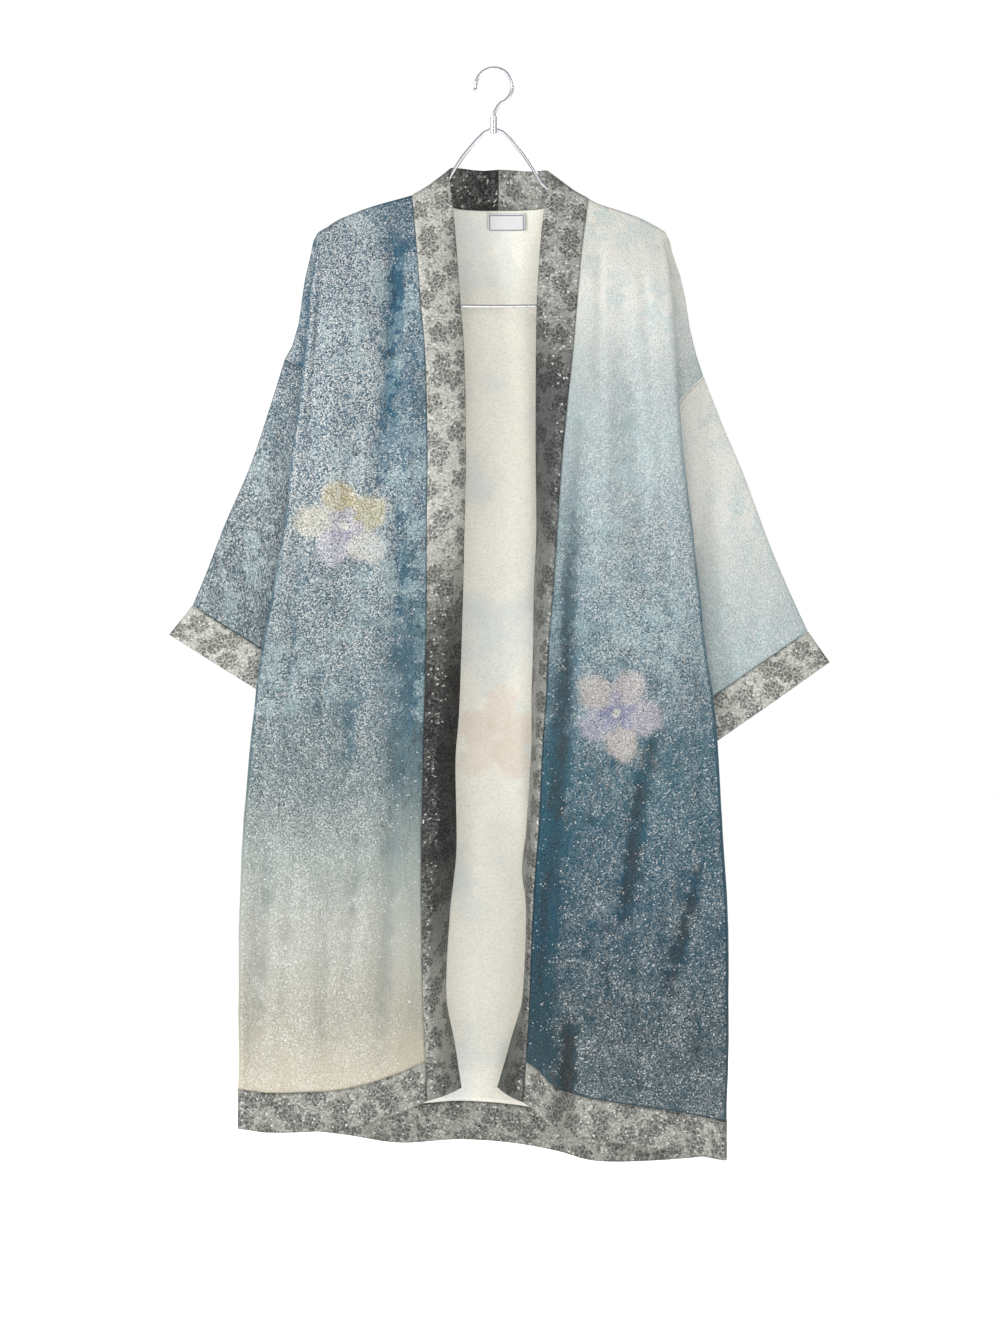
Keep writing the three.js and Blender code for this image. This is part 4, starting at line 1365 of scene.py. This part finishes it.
@dataclass(frozen=True)
class WrongSide:
    """The jacquard's wrong side: matt undyed viscose floats, with a breath of the dye in them."""

    name: str
    ground: str = "#fbf8ec"
    clouds: str = "#dbe3e4"
    # Colour of the painted shade in the ripples' hollows
    ripple_shade: str = "#bdb9a8"
    blossoms: tuple[Blossom, ...] = ()
    crinkle_mm: float = 2.6
    cloud_mm: float = 120
    relief_mm: float = 0.5

    def build(self) -> bpy.types.Material:
        """Makes the material."""
        material, tree, shader = new_material(self.name)
        node = partial(place_node, tree)
        places = read_places(tree)
        cloudy = {"Vector": places.hung, "Scale": 1 / self.cloud_mm, "Detail": 5.0, "Roughness": 0.6}
        cloud = node(NOISE, None, cloudy)
        shown = node(RANGE, SOFT, {0: cloud, 1: 0.45, 2: 0.68})
        colour = layered(tree, self.ground, self.clouds, shown, 0.7)
        for blossom in self.blossoms:
            colour = blossom.over(tree, places, colour)
        stretched = node(VECTOR, "MULTIPLY", {0: places.cut, 1: (0.85, 1.1, 1.0)})
        crinkled = {"Vector": stretched, "Scale": 1 / self.crinkle_mm, "Detail": 2.0}
        ripple = node(NOISE, None, {**crinkled, "Distortion": 0.8})
        # Painted shade in the hollows of the ripples
        ripple_shade = node(RANGE, None, {0: ripple, 1: 0.35, 2: 0.6, 3: 1.0, 4: 0.0})
        colour = layered(tree, colour, self.ripple_shade, ripple_shade, 0.26)
        rough = node(RANGE, None, {0: ripple, 3: 0.9, 4: 0.75})
        finish_shader(tree, shader, colour, rough, ripple, self.relief_mm)
        return material


@dataclass(frozen=True)
class WovenLabelSatin:
    """Damask-woven polyester label: a close white satin with one thin grey line round its face."""

    name: str = "woven_label_satin"
    white: str = "#dededf"
    line: str = "#6f7484"
    width: float = 46
    height: float = 23
    inset: float = 2.6
    line_width: float = 0.9

    def build(self) -> bpy.types.Material:
        """Makes the material."""
        material, tree, shader = new_material(self.name)
        node = partial(place_node, tree)
        places = read_places(tree)
        middle = (self.width / 2, self.height / 2, 0.0)
        local = node(VECTOR, "SUBTRACT", {0: places.cut, 1: middle})
        size = node(VECTOR, "ABSOLUTE", {0: local})
        edge = node(VECTOR, "SUBTRACT", {0: middle, 1: size})
        parts = node(SPLIT, None, {0: edge})
        near = node(MATH, "MINIMUM", {0: parts.outputs["X"], 1: parts.outputs["Y"]})
        off = node(MATH, "SUBTRACT", {0: near, 1: self.inset})
        far = node(MATH, "ABSOLUTE", {0: off})
        mask = node(RANGE, SOFT, {0: far, 1: self.line_width, 2: self.line_width / 3})
        colour = layered(tree, self.white, self.line, mask)
        # The satin's threads are 0.15 mm apart and are drawn at 0.8 mm, so that they show
        woven = {"Vector": places.cut, "Scale": 0.4, "Distortion": 0.6}
        wave = node("ShaderNodeTexWave", {"bands_direction": "Y"}, woven)
        threads = wave.outputs["Fac"]
        rough = node(RANGE, None, {0: threads, 3: 0.45, 4: 0.6})
        finish_shader(tree, shader, colour, rough, threads, 0.06, gloss=0.4)
        return material


@dataclass(frozen=True)
class ChromedSteelWire:
    """Drawn steel wire, bent and chrome plated: bright, with a few dull spots."""

    name: str = "chromed_steel_wire"
    colour: str = "#dcdde2"
    dull: str = "#b4b1bb"

    def build(self) -> bpy.types.Material:
        """Makes the material."""
        material, tree, shader = new_material(self.name)
        node = partial(place_node, tree)
        own = node("ShaderNodeTexCoord").outputs["Object"]
        spots = node(NOISE, None, {"Vector": own, "Scale": 160.0, "Detail": 4.0})
        share = node(RANGE, SOFT, {0: spots, 1: 0.5, 2: 0.75})
        colour = layered(tree, self.colour, self.dull, share, 0.6)
        rough = node(RANGE, None, {0: spots, 3: 0.16, 4: 0.34})
        finish_shader(tree, shader, colour, rough, spots, 0.01, 1.0, 0.5)
        return material


# ---- The garment's pieces


# The steps down a hem band, and the gap of its seam in millimetres
HEM_BAND_ROWS, HEM_SEAM_DROP = 11, 0.3
HEM_BANDS = ("hem_band_right", "hem_band_left", "hem_band_back")
DENIM_RUN = (
    (-1230, "#cbc3ad"), (-1128, "#aaa799"), (-1044, "#afb0a6"), (-948, "#949d98"),
    (-852, "#63777b"), (-756, "#4b6874"), (-660, "#3d5f6d"), (-468, "#325e74"), (-276, "#2b5970"),
    (-150, "#29536a"),
)
PALE_RUN = (
    (-1250, "#395059"), (-1140, "#1e414d"), (-1044, "#194658"), (-948, "#1f4f62"),
    (-852, "#2a5a6a"), (-756, "#3f6272"), (-660, "#587a87"), (-564, "#758c95"), (-468, "#9aaaae"),
    (-372, "#aeb9b9"), (-276, "#dddcd5"), (-155, "#dedcd2"),
)
BACK_RUN = (
    (-1270, "#4f6672"), (-1100, "#2f5066"), (-900, "#335c76"), (-700, "#466e84"), (-500, "#6a8a99"),
    (-330, "#8ba3ad"), (-155, "#a2b2b6"),
)
RIGHT_SLEEVE_RUN = (
    (-780, "#3a525c"), (-680, "#3e5a66"), (-560, "#365664"), (-450, "#31596b"), (-340, "#2b5569"),
)
LEFT_SLEEVE_RUN = (
    (-830, "#9daeb2"), (-730, "#9babae"), (-640, "#b2bdbc"), (-530, "#dbdbd4"), (-360, "#e6e4da"),
)
RIGHT_BAND_RUN = (
    (0, "#7f8079"), (110, "#9d9d96"), (200, "#6a6b67"), (270, "#383937"), (370, "#272828"),
    (490, "#313230"), (560, "#5b5c58"), (620, "#92928b"), (700, "#b8b8b1"), (900, "#a8a8a1"),
    (1060, "#b1b1a9"), (1110, "#85857e"), (1150, "#2a2b29"), (1260, "#222321"),
)
LEFT_BAND_RUN = (
    (0, "#50524f"), (80, "#60625f"), (200, "#7c7d78"), (420, "#8a8b86"), (600, "#777975"),
    (720, "#515352"), (850, "#4c4e4d"), (900, "#6f706c"), (960, "#8e8f89"), (1100, "#999a94"),
    (1260, "#85857f"),
)
RIGHT_FLECKS = FleckRun(-820, 0.42, -480, 0.82)
LEFT_FLECKS = FleckRun(-860, 0.26, -600, 0.6)
BACK_FLECKS = FleckRun(-900, 0.3, -600, 0.55)
SLEEVE_FLECKS = FleckRun(-760, 0.44, -480, 0.6)
HEM_RUN = ((-1330, "#8e8e87"), (-1170, "#96968f"))
CUFF_RUN = ((-840, "#b0b0a8"), (-640, "#adada5"))


def five_petals(
    turn: float, start: float, end: float, width: float, colours: Sequence[str]
) -> tuple[Petal, ...]:
    """Petals round a blossom's middle, a little uneven in length.

    Args:
        turn: The first one's direction, in degrees.
        start: How far out they start.
        end: How far out they end.
        width: Their width.
        colours: The colour of each.

    Returns:
        The petals.
    """
    return tuple(
        Petal(turn + 360 * k / len(colours), start, end * (1 + 0.12 * math.sin(2.3 * k)), width, tone)
        for k, tone in enumerate(colours)
    )


RIGHT_BLOSSOM = Blossom(
    x=-178,
    z=-548,
    petals=(
        *five_petals(100, 4, 57, 44, ("#bfa968", "#c7c0aa", "#b3aec2", "#c4beb5", "#c2b376")),
        *five_petals(136, 0, 25, 16, ("#86839f", "#918da8", "#817e9e", "#9a95ad", "#8985a2")),
        Petal(0, -6, 6, 12, "#e3dccb"),
    ),
)
LEFT_BLOSSOM = Blossom(
    x=146,
    z=-772,
    petals=(
        *five_petals(64, 4, 57, 43, ("#c3b8b6", "#bdb1a9", "#aaa4b6", "#c4b9b1", "#b5adb8")),
        *five_petals(28, 0, 26, 16, ("#6f6e98", "#79779d", "#656494", "#7e7aa0", "#6e6c98")),
        Petal(0, -6, 6, 12, "#e2d9c6"),
    ),
)
GHOST_BLOSSOM = Blossom(
    x=4,
    z=-800,
    petals=five_petals(12, 2, 58, 42, ("#efdfcf", "#f1e2d3", "#eddccb", "#f2e4d6", "#eeddcd")),
    strength=0.6,
)


def make_finishes() -> Finishes:
    """Makes every finish of the garment once.

    Returns:
        The right side's and the wrong side's material of each of the part's solids.
    """
    wrong_side = WrongSide("viscose_wrong_side").build()
    inside = {"back": WrongSide("viscose_wrong_side_back", blossoms=(GHOST_BLOSSOM,)).build()}
    found = {}
    for node, name, run, flecks, more in (
        (
            "front_right",
            "right_front",
            DENIM_RUN,
            RIGHT_FLECKS,
            {"blossoms": (RIGHT_BLOSSOM,), "plain_strip": 0.46},
        ),
        (
            "front_left",
            "left_front",
            PALE_RUN,
            LEFT_FLECKS,
            # The left front's folds get a brown-black painted shade
            {"blossoms": (LEFT_BLOSSOM,), "plain_strip": 0.26, "fold_shade_colour": "#2e261d"},
        ),
        ("back", "back", BACK_RUN, BACK_FLECKS, {}),
        ("sleeve_right", "right_sleeve", RIGHT_SLEEVE_RUN, SLEEVE_FLECKS, {}),
        ("sleeve_left", "left_sleeve", LEFT_SLEEVE_RUN, SLEEVE_FLECKS, {}),
    ):
        outside = CrinkledJacquard(f"crinkled_jacquard_{name}", run, flecks, **more).build()
        found[node] = (outside, inside.get(node, wrong_side))
    for trim, nodes in (
        (RoseTrim("rose_jacquard_right_band", RIGHT_BAND_RUN), ("neckband_right",)),
        (RoseTrim("rose_jacquard_left_band", LEFT_BAND_RUN), ("neckband_left",)),
        (RoseTrim("rose_jacquard_hem", HEM_RUN, along_band=False), HEM_BANDS),
        (RoseTrim("rose_jacquard_cuff", CUFF_RUN, along_band=False), ("cuff_right", "cuff_left")),
        (WovenLabelSatin(), ("neck_label",)),
        (ChromedSteelWire(), ("hanger",)),
    ):
        material = trim.build()
        found.update({node: (material, material) for node in nodes})
    return found


@dataclass
class Piece:
    """A piece of the garment: cut to its form, and finished as its solid asks."""

    form: HangingForm
    finishes: Finishes

    def dress(
        self, shell: Shell, node: str, slot: str, rests_on: Sequence[str], held: Held = Held.HUNG
    ) -> bpy.types.Object:
        """Builds a cloth, gives it its finishes and sets it in the place of its solid.

        Args:
            shell: The cloth's wall.
            node: The solid that it stands for.
            slot: The record's slot for its finish. Not used.
            rests_on: What it hangs from or lies on. Not used.
            held: How it is held. Not used.

        Returns:
            The finished object.
        """
        obj = shell.build()
        for material in self.finishes[node]:
            obj.data.materials.append(material)
        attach(obj, "root")
        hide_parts(node)
        LOG.info("%s: cut %.0f x %.0f mm, %d faces", obj.name, *shell.flat, len(obj.data.polygons))
        return obj

    def dress_hem_band(
        self, word: str, line: list[Vector], above: str, side: Optional[Side] = None, columns: int = 1
    ) -> bpy.types.Object:
        """Makes a hem band that carries on from a panel's last line and flares a little.

        Args:
            word: The panel's word in the names.
            line: The panel's last line.
            above: The panel that it hangs from.
            side: A front's side, or nothing for the back.
            columns: How many of the line's points lie across the front.

        Returns:
            The finished object.
        """
        form, grid = self.form, []
        for k in range(HEM_BAND_ROWS + 1):
            drop = lerp(HEM_SEAM_DROP, form.hem_height, k / HEM_BAND_ROWS)
            flare = 1 + form.hem_flare * drop / form.hem_height
            shift = 0.0
            if side:
                # The band's end keeps to the front band's seam, which leans with the height
                seams = FRONTS[side]
                shift = seams.at("seam", line[0].z - drop) - seams.at("seam", line[0].z)
            near = [max(0.0, 1 - j / columns) ** 2 if side else 0.0 for j in range(len(line))]
            grid.append(
                [Vector((p.x + shift * part, p.y * flare, p.z - drop)) for p, part in zip(line, near)]
            )
        shell = Shell(f"hem_band_cloth_{word}", grid, DOUBLE_TRIM, -side.value if side else 1)
        return self.dress(shell, f"hem_band_{word}", "trim_jacquard", [above])


@dataclass
class FrontPanel(Piece):
    """A front, with the strip that turns round its fold edge, and its hem band."""

    side: Side
    row_step: float = 4.5
    columns: int = 62

    def build(self) -> None:
        """Makes the panel and its hem band."""
        side, word = self.side, self.side.word
        levels = self.form.levels(self.row_step)
        lines = [self.form.front_line(side, level, self.columns) for level in levels]
        shell = Shell(f"front_cloth_{word}", lines, CRINKLED, -side.value)
        front = self.dress(shell, f"front_{word}", "front_jacquard", ["hanger"])
        self.dress_hem_band(word, lines[-1], front.name, side, self.columns)


@dataclass
class BackPanel(Piece):
    """The back with its two turned edges, and its hem band."""

    row_step: float = 5.0
    columns: int = 92

    def build(self) -> None:
        """Makes the panel and its hem band."""
        levels = self.form.levels(self.row_step)
        lines = [self.form.back_line(level, self.columns) for level in levels]
        shell = Shell("back_cloth", lines, CRINKLED, 1)
        back = self.dress(shell, "back", "back_jacquard", ["hanger"])
        self.dress_hem_band("back", lines[-1], back.name)


@dataclass
class FrontBand(Piece):
    """A front band and its half of the neckband, in one, from the hem corner to the centre back."""

    side: Side
    row_step: float = 4.5
    steps: int = 20
    neck_steps: int = 40
    centre_gap: float = 0.15

    def build(self) -> None:
        """Makes the band."""
        form, side, word = self.form, self.side, self.side.word
        drops = [form.hem_height * (1 - k / 10) for k in range(10)]
        sections = [form.band_section(side, 1, drop, self.steps) for drop in drops]
        levels = reversed(form.levels(self.row_step))
        sections += [form.band_section(side, level, 0, self.steps) for level in levels]
        neck = Table(NeckRow, NECKLINE)
        start = NECKLINE[0 if side is Side.RIGHT else -1].x
        stop = NECKLINE[CENTRE_BACK].x
        for k in range(1, self.neck_steps + 1):
            x = lerp(start, stop, k / self.neck_steps)
            y, z, free_x, free_z = (neck.at(c, x, False) for c in ("y", "z", "free_x", "free_z"))
            shift = side.value * self.centre_gap
            seam = Vector((x + shift, y, z + form.seam_gap))
            free = Vector((free_x + shift, y, free_z))
            sections.append([seam.lerp(free, t / self.steps) for t in range(self.steps + 1)])
        shell = Shell(f"neckband_cloth_{word}", sections, DOUBLE_BAND, -side.value)
        sewn_to = [f"front_cloth_{word}", "back_cloth"]
        self.dress(shell, f"neckband_{word}", "band_jacquard", sewn_to)


@dataclass
class Sleeve(Piece):
    """A wide sleeve, flat as it hangs, and its cuff band."""

    side: Side
    rings: int = 66
    ring_steps: int = 44
    cuff_rings: int = 11
    cuff_start: float = 0.004

    def sleeve_place(self, t: float, across: float) -> Vector:
        """A place in the sleeve's middle plane, from the armhole (0) to the cuff (1).

        Args:
            t: The share of the sleeve's length.
            across: The share of its width, from the top fold.

        Returns:
            The point.
        """
        form, side, rows = self.form, self.side, SLEEVES[self.side]
        level = lerp(form.armhole_top, form.armhole_foot, across)
        armhole = Vector((SIDES[side].at("x", level, False), 0, SIDES[side].at("z", level, False)))
        keep = (1 - t) ** 2
        start = 2 * form.seam_gap * (1 - smooth(t, 0, 0.05))
        end = 0.3 * smooth(t, 0.95, 1)
        # Both ends draw back along the sleeve's slant, and leave the gaps of their seams
        shift = Vector((side.value * (0.45 * start - 0.5 * end), 0, 0.87 * end - 0.89 * start))
        p = form.tube_place(rows, t, across)
        return p + (armhole - form.tube_place(rows, 0, across)) * keep + shift

    def build(self) -> None:
        """Makes the sleeve and its cuff."""
        form, word, steps = self.form, self.side.word, self.ring_steps
        creases = CREASES[f"sleeve_{word}"]
        places = [k / self.rings for k in range(self.rings + 1)]
        tube = [form.ring(partial(self.sleeve_place, t), steps, creases) for t in places]
        shell = Shell(f"sleeve_cloth_{word}", tube, CRINKLED, self.side.value, tube=True)
        sewn_to = [f"front_cloth_{word}", "back_cloth"]
        sleeve = self.dress(shell, f"sleeve_{word}", "sleeve_jacquard", sewn_to)
        rows = CUFFS[self.side]
        places = [max(k / self.cuff_rings, self.cuff_start) for k in range(self.cuff_rings + 1)]
        cuff = [form.ring(partial(form.tube_place, rows, t), steps) for t in places]
        shell = Shell(f"cuff_cloth_{word}", cuff, DOUBLE_TRIM, self.side.value, tube=True)
        self.dress(shell, f"cuff_{word}", "trim_jacquard", [sleeve.name])


@dataclass
class NeckLabel(Piece):
    """The bare woven label, laid on the inside of the back neck."""

    left: float = -8
    right: float = 38
    top_level: float = 0.003
    foot_level: float = 0.022
    steps: int = 24
    rows: int = 12
    clearance: float = 2.0

    def build(self) -> None:
        """Makes the label."""
        grid = []
        for i in range(self.rows + 1):
            level = lerp(self.top_level, self.foot_level, i / self.rows)
            tops = [lerp(self.left, self.right, k / self.steps) for k in range(self.steps + 1)]
            line = [self.form.back_point(top_x, level) for top_x in tops]
            grid.append([Vector((p.x, p.y - self.clearance, p.z)) for p in line])
        shell = Shell("neck_label_cloth", grid, WOVEN, -1)
        self.dress(shell, "neck_label", "woven_label", ["back_cloth"], Held.LAID)


@dataclass
class WireHanger(Piece):
    """The wire hanger, which keeps its solid and gets its chrome."""

    node: str = "hanger"

    def build(self) -> None:
        """Dresses the part's own wire."""
        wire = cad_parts[self.node]
        wire.data.materials.clear()
        wire.data.materials.append(self.finishes[self.node][0])
        wire.data.polygons.foreach_set("use_smooth", [True] * len(wire.data.polygons))
        LOG.info("%s: %d faces", wire.name, len(wire.data.polygons))


# ---- The studio


@dataclass(frozen=True)
class Lamp:
    """A soft lamp: its name, place, aim, size in metres and power in watts."""

    name: str
    place: tuple[float, float, float]
    aim: tuple[float, float, float]
    size: float
    watts: float


@dataclass
class Studio:
    """A plain pale floor, soft light and the camera in front of the garment."""

    camera_height: float = -716.4
    camera_x: float = 7.2
    camera_distance: float = 3200
    frame_width: float = 1200
    floor_z: float = -1.5
    floor_half: float = 14.0
    floor_glow: float = 0.62
    ambient: float = 0.41
    lamps: tuple[Lamp, ...] = (
        Lamp("key_lamp", (-2.7, -1.5, 0.5), (0, 0, -0.7), 0.9, 64),
        Lamp("fill_lamp", (0.9, -3.0, -0.3), (0, 0, -0.7), 1.8, 21),
        Lamp("back_lamp", (1.2, 2.6, 0.6), (0, 0, -0.6), 1.6, 44),
    )

    def build(self) -> None:
        """Sets up the floor, the lamps, the surroundings and the camera."""
        half = self.floor_half
        corners = [(-half, -half), (half, -half), (half, half), (-half, half)]
        mesh = bpy.data.meshes.new("floor")
        mesh.from_pydata([(x, y, self.floor_z) for x, y in corners], [], [(0, 1, 2, 3)])
        floor = bpy.data.objects.new("floor", mesh)
        bpy.context.scene.collection.objects.link(floor)
        material, tree, shader = new_material("pale_matt_floor")
        grain = place_node(tree, NOISE, None, {"Scale": 9.0, "Detail": 3.0})
        tone = place_node(tree, RANGE, None, {0: grain, 3: 0.82, 4: 0.9})
        feed(tree, shader, {"Roughness": tone, "Base Color": linear("#f6f6f5")})
        shader.inputs["Emission Color"].default_value = linear("#ffffff")
        shader.inputs["Emission Strength"].default_value = self.floor_glow
        mesh.materials.append(material)
        for lamp in self.lamps:
            self.hang(lamp)
        world = bpy.data.worlds.new("pale_studio")
        world.use_nodes = True
        sky = world.node_tree
        background = sky.nodes["Background"]
        seen = place_node(sky, "ShaderNodeLightPath").outputs["Is Camera Ray"]
        strength = place_node(sky, RANGE, None, {0: seen, 3: self.ambient, 4: 1.0})
        feed(sky, background, {"Color": linear("#ffffff"), "Strength": strength})
        bpy.context.scene.world = world
        bpy.context.scene.view_settings.view_transform = "Standard"
        self.camera()

    def hang(self, lamp: Lamp) -> None:
        """Hangs one soft lamp.

        Args:
            lamp: Its place, size and power.
        """
        data = bpy.data.lights.new(lamp.name, "AREA")
        data.shape, data.size, data.energy = "DISK", lamp.size, lamp.watts
        obj = bpy.data.objects.new(lamp.name, data)
        obj.location = lamp.place
        aim = Vector(lamp.aim) - Vector(lamp.place)
        obj.rotation_euler = aim.to_track_quat("-Z", "Y").to_euler()
        bpy.context.scene.collection.objects.link(obj)

    def camera(self) -> None:
        """Sets the camera straight in front, where the photograph was taken from."""
        data = bpy.data.cameras.new("camera")
        data.sensor_fit = "HORIZONTAL"
        data.sensor_width = 36.0
        data.lens = data.sensor_width * self.camera_distance / self.frame_width
        data.clip_end = 100
        camera = bpy.data.objects.new("camera", data)
        camera.location = Vector((self.camera_x, -self.camera_distance, self.camera_height)) * METRES
        camera.rotation_euler = (math.pi / 2, 0, 0)
        bpy.context.scene.collection.objects.link(camera)
        bpy.context.scene.camera = camera


def main() -> None:
    """Builds the garment, its hanger and the studio."""
    logging.basicConfig(level=logging.INFO, format="%(name)s: %(message)s")
    finishes = make_finishes()
    BackPanel(FORM, finishes).build()
    for side in Side:
        for kind in (FrontPanel, Sleeve, FrontBand):
            kind(FORM, finishes, side).build()
    NeckLabel(FORM, finishes).build()
    WireHanger(FORM, finishes).build()
    Studio().build()


if __name__ == "__main__":
    main()
